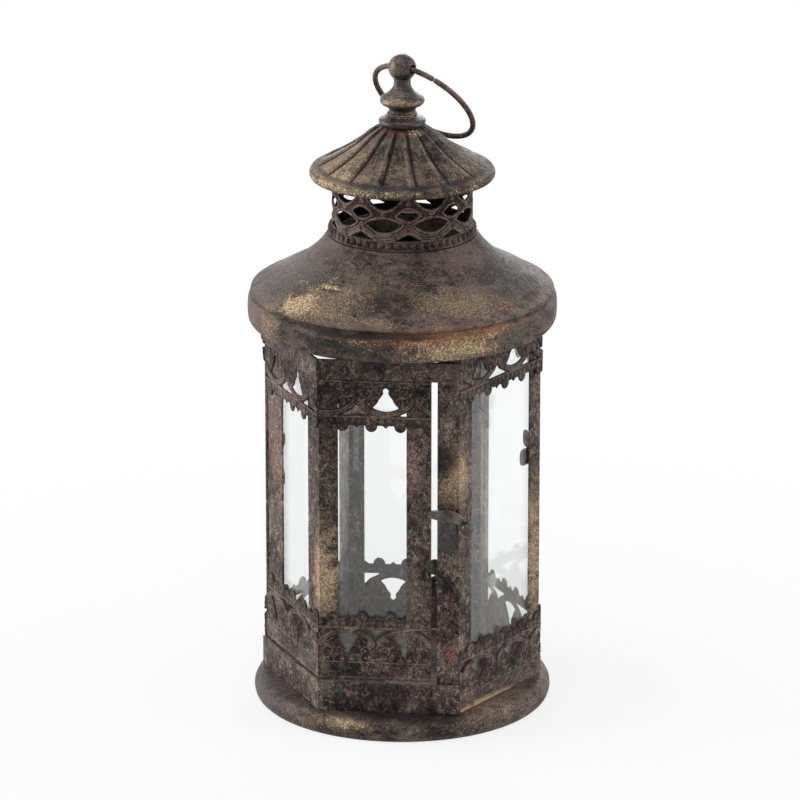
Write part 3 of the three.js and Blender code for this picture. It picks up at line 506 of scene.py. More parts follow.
spun_iron = painted_metal("spun_iron", lightness=-0.02, rust=0.5, patina=0.5, dust=0.35, worn=0.25,
                          stretch=ROUND_THE_AXIS, patches=[
    (BRONZE, (-24, -68, 8), (26, 12, 8), 0.5),
    (GOLD, (-21, -69, 9), (13, 8, 5), 0.5),
    (BRONZE, (42, -56, 9), (36, 26, 8), 0.28),
    (GOLD, (54, -44, 10.5), (16, 14, 3), 0.22),
    (BRONZE, (30, 66, 8), (26, 12, 8), 0.5),
    # painted sheen on the base's left side
    (SHEEN_GREY, (-66, -30, 8), (26, 34, 10), 0.75),
    (SHADOW, (10, -66, 11), (46, 9, 2.5), 0.8),
])
roof_iron = painted_metal("roof_iron", lightness=0.02, rust=0.35, patina=0.5, dust=0.22, worn=0.22,
                          stretch=ROUND_THE_AXIS, patches=[
    # painted sheen on the roof's left side
    (SHEEN_GREY, (-50, -20, 222), (34, 34, 16), 0.7),
    (SHADOW, (54, -14, 221), (24, 30, 14), 0.75),
    (OLIVE, (0, -48, 219), (70, 30, 9), 0.25),
    (SHADOW, (-6, -57, 218.5), (26, 13, 5), 0.85),
    (BRONZE, (-36, -53, 216.5), (32, 20, 9), 0.66),
    (GOLD, (-44, -49, 215.4), (13, 10, 4.5), 0.95),
    (GOLD, (-29, -44, 222.4), (9, 8, 1.1), 0.75),
    (BRONZE, (36, -51, 218), (28, 17, 7.5), 0.6),
    (ORANGE, (56, -37, 214.7), (9, 8, 4.5), 0.3),
    (BRONZE, (-13, -70, 212.6), (34, 8, 2.4), 0.6),
    (SHADOW, (-22, -70, 204), (40, 20, 8), 0.6),
    (BRONZE, (-60, -44, 203), (11, 14, 10), 0.5),
    (ORANGE, (-60, -44, 203), (8, 11, 8), 0.2),
    (GREY_GREEN, (-9, -75, 204), (16, 8, 4), 0.5),
    (ORANGE, (32, -66, 206.3), (46, 24, 4.4), 1.0),
    (BRONZE, (37, -66, 200), (38, 22, 6.5), 0.9),
    (GOLD, (38, -65, 201), (32, 20, 5), 0.75),
    (GREY_GREEN, (59, -46, 202), (6, 7, 4), 0.7),
    (SHADOW, (-18, -70, 207.8), (70, 30, 1.5), 0.7),
    (BRONZE, (34, 50, 218), (28, 18, 8), 0.55),
    (GOLD, (-30, 56, 215.5), (15, 10, 4.5), 0.6),
    (ORANGE, (-20, 70, 205), (40, 20, 4), 0.8),
    (SHADOW, (10, 56, 219), (22, 16, 6), 0.7),
], pinholes=0.55)
cap_iron = painted_metal("cap_iron", lightness=-0.01, rust=0.35, patina=0.6, dust=0.35, worn=0.25,
                         patches=[
    (BRONZE, (-30, -18, 277), (26, 22, 13), 0.65),
    (GOLD, (-30, -29, 272.5), (20, 14, 5), 0.5),
    (OLIVE, (0, -28, 275), (22, 12, 6), 0.35),
    (BRONZE, (34, -17, 275), (22, 22, 10), 0.3),
    (GOLD, (-24, -20, 269.4), (60, 60, 2.0), 0.42),
    (SHADOW, (0, 0, 272.2), (130, 130, 1.0), 0.5),
    (MAROON, (-2, -9, 291), (12, 10, 3), 0.5),
    (GOLD, (7, -10, 291), (4, 4, 2), 0.5),
    (BRONZE, (20, 30, 275), (22, 18, 10), 0.5),
], bump=0.6, pinholes=0.5)
# Painted shade darkens the pleats' creases, and pale dust, partly a painted highlight, lies on their crests.
shaded_by_relief(cap_iron, -1.6, 0.0, dark=(0.20, 0.18, 0.19, 1), dust=0.4)
# The olive and bronze patches on the front of the foot, bulb and ball are partly rubbed paint and partly a
# painted golden highlight.
finial_iron = painted_metal("finial_iron", lightness=-0.12, rust=0.7, patina=0.15, dust=0.14, worn=0.15,
                            stretch=ROUND_THE_AXIS, patches=[
    (OLIVE, (-3, -9, 306), (12, 8, 5), 0.5),
    (BRONZE, (4, -9, 305), (8, 6, 2.5), 0.45),
    (BRONZE, (4, -8, 298), (8, 8, 2.5), 0.45),
    (OLIVE, (-4, -6, 321), (8, 7, 6), 0.35),
], bump=0.3, metallic=0.55, shine=0.8, dullness=0.62)
folded_iron = painted_metal("folded_iron", lightness=-0.01, rust=0.6, patina=0.5, dust=0.8, worn=0.2,
                            stretch=UPRIGHT, patches=[
    (OLIVE, (-30, -59, 132), (5, 3, 50), 0.22),
    (PALE_DUST, (-29, -59, 132), (4, 3, 50), 0.16),
    (BRONZE, (-32, -58, 82), (10, 9, 34), 0.5),
    (GOLD, (-32, -58, 80), (8, 8, 20), 0.55),
    (BRONZE, (34, -57, 132), (12, 6, 17), 0.75),
    (GOLD, (35, -57, 132), (9, 6, 11), 0.5),
    (SHADOW, (25, -59, 142), (7, 3, 8), 0.8),
    (PINK, (30, -59, 44), (5, 3, 10), 0.4),
    (BRONZE, (65, -5, 80), (9, 10, 52), 0.55),
    (GOLD, (66, -4, 75), (7, 8, 36), 0.4),
    (ORANGE, (-62, -12, 125), (8, 8, 18), 0.35),
    (PALE_DUST, (14, -59, 137), (8, 3, 24), 0.3),
    (PALE_DUST, (29, -59, 158), (6, 3, 14), 0.3),
    (SHADOW, (0, -59, 190), (36, 3, 6), 0.5),
    (SHADOW, (0, -59, 19), (40, 4, 9), 0.4),
    (SHADOW, (48, -28, 24), (26, 30, 12), 0.5),
    (BRONZE, (34, 59, 96), (10, 10, 34), 0.5),
    (GOLD, (-34, 59, 140), (9, 9, 22), 0.5),
])
stamped_iron = painted_metal("stamped_iron", lightness=-0.03, rust=0.7, patina=0.6, dust=0.55, worn=0.2,
                             patches=[
    (GOLD, (46, -40, 13.3), (18, 20, 1.6), 0.6),
    (SHADOW, (48, -28, 30), (26, 30, 18), 0.5),
])
# Painted shade darkens the ground between the raised lines, and pale dust, partly a painted highlight, lies
# on them.
shaded_by_relief(stamped_iron, 0.0, 0.4, dark=(0.52, 0.48, 0.49, 1), dust=0.34)
collar_iron = painted_metal("collar_iron", lightness=-0.02, rust=0.9, patina=0.3, dust=0.35, worn=0.15,
                            shine=0.1)
# The inside, marked below any relief, is darkened towards maroon: partly its maroon colour, partly painted
# shade.
shaded_by_relief(collar_iron, -0.9, -0.1, dark=(0.32, 0.09, 0.09, 1))
# Painted shade darkens the ground, and pale dust, partly a painted highlight, lies on the raised lines.
shaded_by_relief(collar_iron, 0.0, 0.4, dark=(0.42, 0.34, 0.35, 1), dust=0.5)
dark_wire = painted_metal("dark_wire", rust=0.3, patina=0.3, dust=0.25, worn=0.5, bump=0.2)
latch_iron = painted_metal("latch_iron", lightness=-0.13, rust=0.6, patina=0.3, dust=0.15, worn=0.1,
                           bump=0.3, metallic=0.3, shine=0.7, dullness=0.75)
lever_iron = painted_metal("lever_iron", lightness=-0.03, rust=0.5, patina=0.9, dust=0.2, worn=0.3, patches=[
    (PINK, (21, -60, 114), (7, 4, 4), 0.45),
], bump=0.3, metallic=0.2, shine=0.8, dullness=0.75)
knob_iron = painted_metal("knob_iron", lightness=-0.15, rust=0.5, patina=0.3, dust=0.0, worn=0.1,
                          bump=0.2, metallic=0.3, shine=0.9, dullness=0.65)
gilt_edge = painted_metal("gilt_edge", rust=0.3, patina=0.3, dust=0.3, worn=0.3, patches=[
    (GOLD, (47, -36, 12.6), (24, 28, 8), 1.0),
], bump=0.3)
print("metals:", [m.name for m in bpy.data.materials if "iron" in m.name])

# %% [markdown]
# ## Helpers for meshes
# Spun pieces are made by turning a profile round the axis, which is what the metal spinner does. The
# profile is a closed line, so the piece is a closed shell with a real wall.

# %% Mesh helpers


def make_piece(name, points, faces):
    """A new object from points in millimetres, turned so that its faces look outwards."""
    mesh = bpy.data.meshes.new(name)
    mesh.from_pydata([(x * MM, y * MM, z * MM) for x, y, z in points], [], faces)
    mesh.validate()
    piece = new_object(name, mesh)
    look_outwards(mesh)
    return piece


def look_outwards(mesh, sharp=40):
    """Turns a shell's faces outwards, and smooths it up to its sharp edges."""
    shell = bmesh.new()
    shell.from_mesh(mesh)
    if shell.calc_volume(signed=True) < 0:
        bmesh.ops.reverse_faces(shell, faces=shell.faces)
    shell.to_mesh(mesh)
    shell.free()
    mesh.shade_smooth()
    mesh.set_sharp_from_angle(angle=math.radians(sharp))


def from_shell(name, shell, sharp=40):
    """A new object from a shape that bmesh has made. The shape itself is let go."""
    mesh = bpy.data.meshes.new(name)
    shell.to_mesh(mesh)
    shell.free()
    look_outwards(mesh, sharp)
    return new_object(name, mesh)


def spun(name, profile, steps):
    """Turns a closed profile of (radius, height) round the lantern's axis."""
    points = []
    rows = []
    for radius, height in profile:
        if radius < 1e-6:
            rows.append([len(points)] * steps)
            points.append((0, 0, height))
            continue
        rows.append(list(range(len(points), len(points) + steps)))
        for turn in np.arange(steps) * 2 * math.pi / steps:
            points.append((radius * math.cos(turn), radius * math.sin(turn), height))
    faces = []
    for i, row in enumerate(rows):
        following = rows[(i + 1) % len(rows)]
        for j in range(steps):
            k = (j + 1) % steps
            corners = list(dict.fromkeys([row[j], row[k], following[k], following[j]]))
            if len(corners) > 2:
                faces.append(corners)
    return make_piece(name, points, faces)


def flowing(points, steps=6):
    """A smooth line through the given points, as a spinner's tool would leave it."""
    knots = np.array([points[0], *points, points[-1]], float)
    line = []
    for a, b, c, d in zip(knots, knots[1:], knots[2:], knots[3:]):
        for t in np.arange(steps) / steps:
            line.append(tuple(0.5 * (2 * b + (c - a) * t + (2 * a - 5 * b + 4 * c - d) * t ** 2
                                     + (3 * b - a - 3 * c + d) * t ** 3)))
    return [*line, tuple(knots[-1])]


def inner_side(outline, sheet):
    """The points of an outline moved inwards by a sheet's thickness."""
    skin = []
    for i, (radius, height) in enumerate(outline):
        before = outline[max(i - 1, 0)]
        after = outline[min(i + 1, len(outline) - 1)]
        outwards = after[0] - before[0]
        upwards = after[1] - before[1]
        run = math.hypot(outwards, upwards)
        skin.append((radius + sheet * upwards / run, height - sheet * outwards / run))
    return skin


def walled(outline, sheet):
    """Closes an outline into the section of a sheet that lies on its inner side."""
    return [*outline, *reversed(inner_side(outline, sheet))]


def dented(piece, depth, spacing, seed):
    """Moves the points of a piece in and out a little, as years of knocks do."""
    shift = Vector((seed * 3.1, seed * 1.7, seed * 0.9))
    mesh = piece.data
    normals = [v.normal.copy() for v in mesh.vertices]
    for vertex, normal in zip(mesh.vertices, normals):
        vertex.co += normal * depth * MM * noise.noise(vertex.co / (spacing * MM) + shift)
    mesh.update()


# %% [markdown]
# ## Base
# The base is a spun pan, turned upside down: a flat top, a fat rolled rim and a foot that is turned in
# under it. One closed profile makes it: along the top, down inside the rim, round the foot and up again.

# %% The base pan
BASE_HEIGHT = 11.0
BASE_SHEET = 1.2
BASE_FOOT_INNER = 62.1

base_rim = flowing([
    (71.1, 0), (72.6, 1.6), (73.4, 4.4), (73.2, 6.8), (72.2, 8.8), (70.9, 10.4), (69.0, BASE_HEIGHT),
])
base_inside = [(68.4, 9.8), (70.6, 8.9), (71.8, 7.2), (72.2, 4.8), (71.3, 2.2), (70.6, BASE_SHEET)]
base = spun("base_pan_dressed", [
    (0, BASE_HEIGHT), (0, BASE_HEIGHT - BASE_SHEET), *base_inside,
    (BASE_FOOT_INNER, BASE_SHEET), (BASE_FOOT_INNER, 0), *base_rim,
], steps=160)
settle(base, "base_pan", spun_iron)

# %% [markdown]
# ## Roof
# The roof is spun too: an upright band, a crease, and a dome that sweeps up in a bell curve to the seat
# of the collar. Between them the dome ends in a ledge over a groove. The profile is drawn in smooth runs
# with that groove as real shape, because it catches the light all the way round. Shallow dents keep the
# metal from looking machined.

# %% The roof and the crown plate under it
ROOF_SHEET = 1.0
ROOF_MOUTH = 31.5
ROOF_TOP = 238.5
ROOF_DENT = 0.35
ROOF_DENT_SPACING = 22
CROWN_INNER = 45.0
CROWN_OUTER = 73.4
CROWN_FOOT = 207.1
CROWN_TOP = 208.3

dome = flowing([
    (36.6, 238.4), (41, 232.3), (47, 226.5), (53, 222.3), (59, 219.3), (65, 216.0), (69.6, 212.6),
])
ledge = flowing([
    (71.7, 211.8), (73.1, 211.4), (73.9, 210.8), (73.9, 210.1), (73.3, 209.6), (73.1, 209.2), (73.6, 208.8),
], 4)
band = flowing([
    (74.5, 208.3), (75.2, 206), (75.45, 202.5), (75.4, 199), (75.1, 196.3), (74.5, 195.3), (73.7, 195.1),
])
under_ledge = [
    (70.6, 210.6), (71.7, 209.9), (71.8, 208.8), (73.9, 208.5), (74.3, 206), (74.4, 202), (74.3, 198),
]
roof = spun("roof_dressed", [
    (ROOF_MOUTH, ROOF_TOP), *dome, *ledge, *band, *reversed(under_ledge),
    *reversed(inner_side(dome, ROOF_SHEET)), (ROOF_MOUTH, ROOF_TOP - ROOF_SHEET),
], steps=192)
dented(roof, ROOF_DENT, ROOF_DENT_SPACING, seed=1)
settle(roof, "roof", roof_iron)

crown = spun("crown_plate_dressed", [
    (CROWN_INNER, CROWN_FOOT), (CROWN_OUTER, CROWN_FOOT), (CROWN_OUTER, CROWN_TOP), (CROWN_INNER, CROWN_TOP),
], steps=96)
settle(crown, "crown_plate", spun_iron)

# %% [markdown]
# ## Cap
# The cap is a shallow cone, pressed into fifteen pleats that die out before its rolled rim. Each pleat
# climbs slowly to a ridge and drops off sharply into a crease. The pleats repeat by a rule, so Geometry
# Nodes raise them on the smooth cone: the angle round the axis gives the place within a pleat, and the
# radius fades the pleat in and out. The tree also marks the creases and the crests. The cap's metal paints
# shade into the creases, and pale dust, partly a painted highlight, onto the crests.

# %% How a Geometry Nodes tree ends


def end_tree(tree, given, shape, seam=None):
    """Makes instances real, merges them within a seam if one is given, and sets the material."""
    shape = add_node(tree, "GeometryNodeRealizeInstances", {0: shape}).outputs[0]
    if seam is not None:
        merged = add_node(tree, "GeometryNodeMergeByDistance", {"Geometry": shape, "Distance": seam})
        shape = merged.outputs[0]
    material = given.outputs["Material"]
    coated = add_node(tree, "GeometryNodeSetMaterial", {"Geometry": shape, "Material": material})
    add_node(tree, "NodeGroupOutput", {0: coated.outputs[0]})


# %% Geometry Nodes tree for the pleats
PLEAT_FADE_IN = 5.0
PLEAT_FADE_OUT = 4.0
CREASE_WIDTH = 1.1
GUTTER_WIDTH = 2.4

pleats = new_tree("pleats", "Geometry", {
    "Geometry": "Geometry", "Count": "Float", "Turn": "Float", "Height": "Float", "Ridge": "Float",
    "Inner Radius": "Float", "Outer Radius": "Float", "Material": "Material",
}, {"Geometry": "Geometry"})
tree = pleats
given = add_node(tree, "NodeGroupInput")
count = given.outputs["Count"]
inner = given.outputs["Inner Radius"]
outer = given.outputs["Outer Radius"]
parts = add_node(tree, "ShaderNodeSeparateXYZ", {0: add_node(tree, "GeometryNodeInputPosition").outputs[0]})
turn = maths(tree, "ARCTAN2", parts.outputs["Y"], parts.outputs["X"])
turn = maths(tree, "SUBTRACT", turn, given.outputs["Turn"])
share = maths(tree, "FRACT", maths(tree, "MULTIPLY", maths(tree, "DIVIDE", turn, 2 * math.pi), count))
remainder = maths(tree, "SUBTRACT", 1.0, share)
rise = maths(tree, "DIVIDE", share, given.outputs["Ridge"])
fall = maths(tree, "DIVIDE", remainder, maths(tree, "SUBTRACT", 1.0, given.outputs["Ridge"]))
wave = maths(tree, "MINIMUM", rise, fall)
level = add_node(tree, "ShaderNodeCombineXYZ", {"X": parts.outputs["X"], "Y": parts.outputs["Y"]})
radius = vector_maths(tree, "LENGTH", level.outputs[0])
fade_in = ramp(tree, radius, inner, maths(tree, "ADD", inner, PLEAT_FADE_IN * MM))
fade_out = ramp(tree, radius, maths(tree, "SUBTRACT", outer, PLEAT_FADE_OUT * MM), outer, 1.0, 0.0)
faded = maths(tree, "MULTIPLY", fade_in, fade_out)
pleat_width = maths(tree, "DIVIDE", maths(tree, "MULTIPLY", radius, 2 * math.pi), count)
across = maths(tree, "MULTIPLY", maths(tree, "MINIMUM", share, remainder), pleat_width)
crease = ramp(tree, across, 0.0, CREASE_WIDTH * MM, 1.0, 0.0)
# The crease and a wider gutter round it are marked low, so that the cap's metal paints shade there.
gutter = weighted(tree, (crease, 0.65), (ramp(tree, across, 0.0, GUTTER_WIDTH * MM, 1.0, 0.0), 0.35))
crest = ramp(tree, wave, 0.7, 1.0)
relief = maths(tree, "MULTIPLY", weighted(tree, (crest, 1.0), (gutter, -2.0)), faded)
folded = maths(tree, "MULTIPLY", weighted(tree, (wave, 1.0), (crease, -0.5)), given.outputs["Height"])
lift = add_node(tree, "ShaderNodeCombineXYZ", {"Z": maths(tree, "MULTIPLY", folded, faded)})
marked = add_node(tree, "GeometryNodeStoreNamedAttribute", {
    "Geometry": given.outputs["Geometry"], "Name": "relief", "Value": relief,
}, data_type="FLOAT", domain="POINT")
raised = add_node(tree, "GeometryNodeSetPosition", {"Geometry": marked.outputs[0], "Offset": lift.outputs[0]})
end_tree(tree, given, raised.outputs[0])
print("pleats tree:", len(pleats.nodes), "nodes")

# %% Helpers that keep the plain result of a modifier or a tree


def evaluated_mesh(piece):
    """The mesh that a piece's modifiers make of it, as plain data."""
    bpy.context.view_layer.update()
    return bpy.data.meshes.new_from_object(piece.evaluated_get(bpy.context.evaluated_depsgraph_get()))


def grow(name, group, sockets, start=None):
    """Runs a Geometry Nodes tree, on a start if it needs one, and returns its result as a new object."""
    seed = start or new_object(name + "_seed", bpy.data.meshes.new(name + "_seed"))
    modifier = seed.modifiers.new("nodes", "NODES")
    modifier.node_group = group
    names = {item.name: item.identifier for item in group.interface.items_tree if item.in_out == "INPUT"}
    for key, value in sockets.items():
        modifier[names[key]] = value
    mesh = evaluated_mesh(seed)
    mesh.name = name
    seed.modifiers.remove(modifier)
    bpy.data.objects.remove(seed)
    look_outwards(mesh)
    return new_object(name, mesh)


# %% The cap
CAP_SHEET = 0.9
CAP_TURN = math.radians(22)
PLEAT_COUNT = 15
PLEAT_HEIGHT = 1.1
PLEAT_RIDGE = 0.82
PLEATS_FROM = 9.0
PLEATS_TO = 42.0

cap_top = [(2.7, 293.5), (7.5, 293.5)]
cap_slope = flowing([
    (9, 293.1), (13, 290.3), (17, 287.5), (21, 284.2), (26, 280.5), (32, 276.8), (38, 273.6), (41.8, 271.5),
])
cap_rim = flowing([(42.6, 271.5), (44.2, 271.0), (45.1, 269.5), (45.1, 268.2), (44.6, 267.3)])
cone = spun("cap_cone", walled([*cap_top, *cap_slope, *cap_rim], CAP_SHEET), steps=480)
cap = grow("cap_dressed", pleats, {
    "Count": float(PLEAT_COUNT), "Turn": CAP_TURN, "Height": PLEAT_HEIGHT * MM, "Ridge": PLEAT_RIDGE,
    "Inner Radius": PLEATS_FROM * MM, "Outer Radius": PLEATS_TO * MM, "Material": cap_iron,
}, cone)
settle(cap, "cap", cap_iron)

# %% [markdown]
# ## Finial
# The finial is turned on a lathe: a stepped foot, a waist, a bulb, a neck and a ball, with a stud below
# that a nut holds under the cap. The ball is cross-bored for the carry ring. A boolean makes the bore,
# because that is what the drill does, and the profile is fine enough for a clean edge.

# %% The finial
FINIAL_FOOT = 293.8
STUD_RADIUS = 2.4
STUD_END = 287.5
NECK_RADIUS = 4.15
BALL_RADIUS = 6.8
EYE_Z = 321.1
EYE_RADIUS = 2.35
EYE_TURN = math.radians(57.8)
DRILL_LENGTH = 20.0

stem = flowing([(r, FINIAL_FOOT + up) for r, up in [
    (8.9, 0), (9.8, -0.85), (10.9, -0.8), (11.4, 0.6), (10.9, 2.1), (8.5, 3.1), (7.2, 3.7), (7.4, 4.7),
    (6.6, 5.6), (6.5, 6.3), (7.2, 7.8), (10, 9.4), (10.8, 11.1), (10, 12.9), (6.8, 15), (4.6, 17.6),
    (4.1, 19.6),
]], 5)
ball_start = -math.acos(NECK_RADIUS / BALL_RADIUS)
ball = [(BALL_RADIUS * math.cos(a), EYE_Z + BALL_RADIUS * math.sin(a))
        for a in np.linspace(ball_start, math.pi / 2, 22)][:-1]
finial = spun("finial_dressed", [
    (0, STUD_END), (STUD_RADIUS, STUD_END), (STUD_RADIUS, FINIAL_FOOT), *stem,
    *ball, (0, EYE_Z + BALL_RADIUS),
], steps=96)
eye_axis = Vector((math.sin(EYE_TURN), -math.cos(EYE_TURN), 0))

drill_shape = bmesh.new()
turn_drill = eye_axis.to_track_quat("Z", "Y").to_matrix().to_4x4()
bmesh.ops.create_cone(
    drill_shape, cap_ends=True, segments=48, radius1=EYE_RADIUS * MM, radius2=EYE_RADIUS * MM,
    depth=DRILL_LENGTH * MM, matrix=Matrix.Translation((0, 0, EYE_Z * MM)) @ turn_drill)
drill = from_shell("drill", drill_shape)


def bored(piece, cutter):
    """Cuts one mesh from another and leaves a plain mesh behind."""
    cut = piece.modifiers.new("bore", "BOOLEAN")
    cut.object = cutter
    cut.operation = "DIFFERENCE"
    cut.solver = "EXACT"
    result = evaluated_mesh(piece)
    piece.modifiers.remove(cut)
    piece.data = result
    look_outwards(result, 35)
    bpy.data.objects.remove(cutter)


bored(finial, drill)
settle(finial, "finial", finial_iron)

# %% [markdown]
# ## Carry ring
# The ring is a bent wire whose ends butt together. It hangs through the ball and lies on the cap. The
# wire is swept round a circle, and its ends are drawn in a little, so that the joint shows as a nick.

# %% A swept wire, and the ring
RING_RADIUS = 27.0
RING_WIRE = 1.35
RING_GAP = 0.16
RING_DROP = math.radians(50.5)
RING_BUTT = math.radians(38)
DRAWN_ENDS = (0.72, 0.93, 1.0)


def swept_wire(name, path, radius, sides=20):
    """A round wire along a list of points in millimetres, with its ends drawn in."""
    points = []
    rings = []
    across = (path[1] - path[0]).orthogonal()
    last = len(path) - 1
    for i, centre in enumerate(path):
        ahead = (path[min(i + 1, last)] - path[max(i - 1, 0)]).normalized()
        across = (across - ahead * across.dot(ahead)).normalized()
        beside = ahead.cross(across)
        from_end = min(i, last - i, len(DRAWN_ENDS) - 1)
        rings.append(list(range(len(points), len(points) + sides)))
        for turn in np.arange(sides) * 2 * math.pi / sides:
            spoke = across * math.cos(turn) + beside * math.sin(turn)
            points.append(centre + radius * DRAWN_ENDS[from_end] * spoke)
    faces = [rings[0][::-1], rings[-1]]
    for here, there in zip(rings, rings[1:]):
        for j in range(sides):
            k = (j + 1) % sides
            faces.append([here[j], here[k], there[k], there[j]])
    return make_piece(name, points, faces)


ring_out = Vector((-eye_axis.y, eye_axis.x, 0))
ring_down = ring_out * math.cos(RING_DROP) - Vector((0, 0, math.sin(RING_DROP)))
ring_sag = (RING_RADIUS - math.sqrt(RING_RADIUS ** 2 - BALL_RADIUS ** 2)) / 2
ring_centre = Vector((0, 0, EYE_Z)) + ring_down * (RING_RADIUS - ring_sag)
half_gap = RING_GAP / 2 / RING_RADIUS
ring_turns = np.linspace(RING_BUTT + half_gap, RING_BUTT + 2 * math.pi - half_gap, 220)
ring_path = [ring_centre - ring_down * RING_RADIUS * math.cos(t) + eye_axis * RING_RADIUS * math.sin(t)
             for t in ring_turns]
carry_ring = swept_wire("carry_ring_dressed", ring_path, RING_WIRE)
settle(carry_ring, "carry_ring", dark_wire)

# %% [markdown]
# ## Folded sheet and hardware
# Posts, bands, the door frame, hinge leaves and the latch plate are flat sheet, cut and folded. Their
# solids already have the right outline, so the dressed piece starts from a merged copy of the solid. Its
# edges get the small round that shears, files and paint leave, which is what makes sheet look like sheet.

# %% Helper for a copy with rounded edges
WELD = 0.002
FLAT_ANGLE = 1.5


def rounded_copy(node, radius, segments, sharp=24):
    """A copy of a node's solid, merged and with its sharp edges rounded."""
    shell = bmesh.new()
    shell.from_mesh(frame["nodes"][node].data)
    bmesh.ops.remove_doubles(shell, verts=shell.verts, dist=WELD * MM)
    bmesh.ops.dissolve_limit(
        shell, angle_limit=math.radians(FLAT_ANGLE), verts=shell.verts, edges=shell.edges)
    edges = [e for e in shell.edges if len(e.link_faces) == 2 and e.calc_face_angle() > math.radians(sharp)]
    bmesh.ops.bevel(shell, geom=edges, offset=radius * MM, segments=segments, affect="EDGES", profile=0.5,
                    clamp_overlap=True)
    bmesh.ops.triangulate(shell, faces=[f for f in shell.faces if len(f.verts) > 4])
    return from_shell(node + "_dressed", shell, 12)


# %% Posts, bands and the door frame
FOLD_ROUND = 0.28

for node in ["hinge_post", "latch_post", "right_post", "back_right_post", "back_left_post",
             "door_sill", "door_header", "door_frame"]:
    settle(rounded_copy(node, FOLD_ROUND, 3), node, folded_iron)

# %% [markdown]
# ## Panes
# A pane is a plain slab, so its solid is copied too. Its edges get a very small round, as on glass whose
# edges are ground after it is cut, and it takes the clear glass instead of paint.

# %% The panes
PANE_ROUND = 0.15

for node in [face + "_pane" for face in FIXED_FACES] + ["door_front_pane", "door_left_pane"]:
    settle(rounded_copy(node, PANE_ROUND, 2), node, clear_glass)

# %% [markdown]
# ## Stamped ornament
# The strips are thin sheet, stamped between dies: pierced with bells and spandrels, scalloped along one
# edge, and embossed with lines, bosses and scrolls. A height map is the closest thing to a die. Each
# strip is a fine grid laid on its face. One formula says where there is metal, another how far the front
# is pressed out, and grid points near an edge are drawn onto it so that the cut edge is clean.

# %% A sheet made from two formulas
STAMP_STEP = 0.4
STAMP_SHEET = 0.55
STAMP_DEPTH = 0.45
STAMP_GRIT = 0.035
CUT_ROUND = 0.45
CUT_DROP = 0.2
SLOPE_PROBE = 0.05
DRAW_REACH = 0.55
DRAW_SLACK = 0.2


def ridge(distance, half_width):
    """A rounded line: 1 on the line, 0 from half its width on."""
    return np.sqrt(np.clip(1 - (distance / half_width) ** 2, 0, 1))


def grid_faces(kept, solid):
    """Quads where all four corners are kept, and triangles where three are."""
    number = np.arange(kept.size).reshape(kept.shape)
    corners = [number[:-1, :-1], number[1:, :-1], number[1:, 1:], number[:-1, 1:]]
    keeps = [kept[:-1, :-1], kept[1:, :-1], kept[1:, 1:], kept[:-1, 1:]]
    count = sum(k.astype(int) for k in keeps)
    faces = np.stack(corners, -1)[(count == 4) & solid].tolist()
    for missing in range(4):
        three = (count == 3) & ~keeps[missing] & solid
        rest = [corners[i][three] for i in range(4) if i != missing]
        faces += np.stack(rest, -1).tolist()
    return faces


def worn_noise(shape, seed):
    """Small bumps on a grid, with the same seed every time."""
    bumps = np.random.default_rng(seed).normal(size=shape)
    bumps = (bumps + np.roll(bumps, 1, 0) + np.roll(bumps, 1, 1) + np.roll(bumps, (1, 1), (0, 1))) / 4
    return bumps / bumps.std()


def stamped_sheet(name, span, rise, metal, relief, place, seed, step=STAMP_STEP, open_ends=False,
                  back_mark=0.3):
    """Builds the sheet over a span and a rise, and marks each point with its relief from 0 to 1."""
    counts = [max(2, round((high - low) / step)) + 1 for low, high in (span, rise)]
    u, v = np.meshgrid(np.linspace(*span, counts[0]), np.linspace(*rise, counts[1]), indexing="ij")
    value = metal(u, v)
    probe = SLOPE_PROBE
    lean_u = (metal(u + probe, v) - metal(u - probe, v)) / (2 * probe)
    lean_v = (metal(u, v + probe) - metal(u, v - probe)) / (2 * probe)
    steep = lean_u ** 2 + lean_v ** 2 + 1e-6
    near = np.abs(value) < DRAW_REACH * step * np.sqrt(steep)
    draw_u = np.clip(np.where(near, -value * lean_u / steep, 0), -step / 2, step / 2)
    draw_v = np.clip(np.where(near, -value * lean_v / steep, 0), -step / 2, step / 2)
    draw_u[[0, -1], :] = 0
    draw_v[:, [0, -1]] = 0
    u, v = u + draw_u, v + draw_v
    middle_u = (u[:-1, :-1] + u[1:, 1:]) / 2
    middle_v = (v[:-1, :-1] + v[1:, 1:]) / 2
    faces = grid_faces((value > 0) | near, metal(middle_u, middle_v) > -DRAW_SLACK * step)

    raised = np.clip(relief(u, v), -0.3, 1)
    edge_round = CUT_DROP * (1 - np.clip(metal(u, v) / CUT_ROUND, 0, 1)) ** 2
    out = STAMP_SHEET + STAMP_DEPTH * raised - edge_round + STAMP_GRIT * worn_noise(u.shape, seed)
    front = place(u, v, out).reshape(-1, 3)
    back = place(u, v, np.zeros_like(u)).reshape(-1, 3)

    total = u.size
    edges = [(f[i], f[(i + 1) % len(f)]) for f in faces for i in range(len(f))]
    known = set(edges)
    ends = counts[1]
    walls = [
        [b, a, a + total, b + total] for a, b in edges if (b, a) not in known
        and not (open_ends and (max(a, b) < ends or min(a, b) >= total - ends))
    ]
    shell = faces + [[i + total for i in reversed(f)] for f in faces] + walls
    used = sorted({i for f in shell for i in f})
    renumbered = {old: new for new, old in enumerate(used)}
    points = np.concatenate([front, back])[used]
    piece = make_piece(name, points.tolist(), [[renumbered[i] for i in f] for f in shell])
    marks = np.concatenate([np.clip(raised, 0, 1).ravel(), np.full(total, back_mark)])[used]
    layer = piece.data.attributes.new("relief", "FLOAT", "POINT")
    layer.data.foreach_set("value", marks.astype(np.float32))
    return piece


# %% [markdown]
# The motif repeats every 28.2 mm. Depths are measured from the tips of the large lobes towards the plain
# edge. A bell opening with a curved base alternates with a spandrel that narrows into a slot, and an arch
# of two raised lines spans each bell. A straight line is given by its depth, half its width and its height,
# a scroll by its place, its radius and the side where it opens, and a petal by its place and its turn.

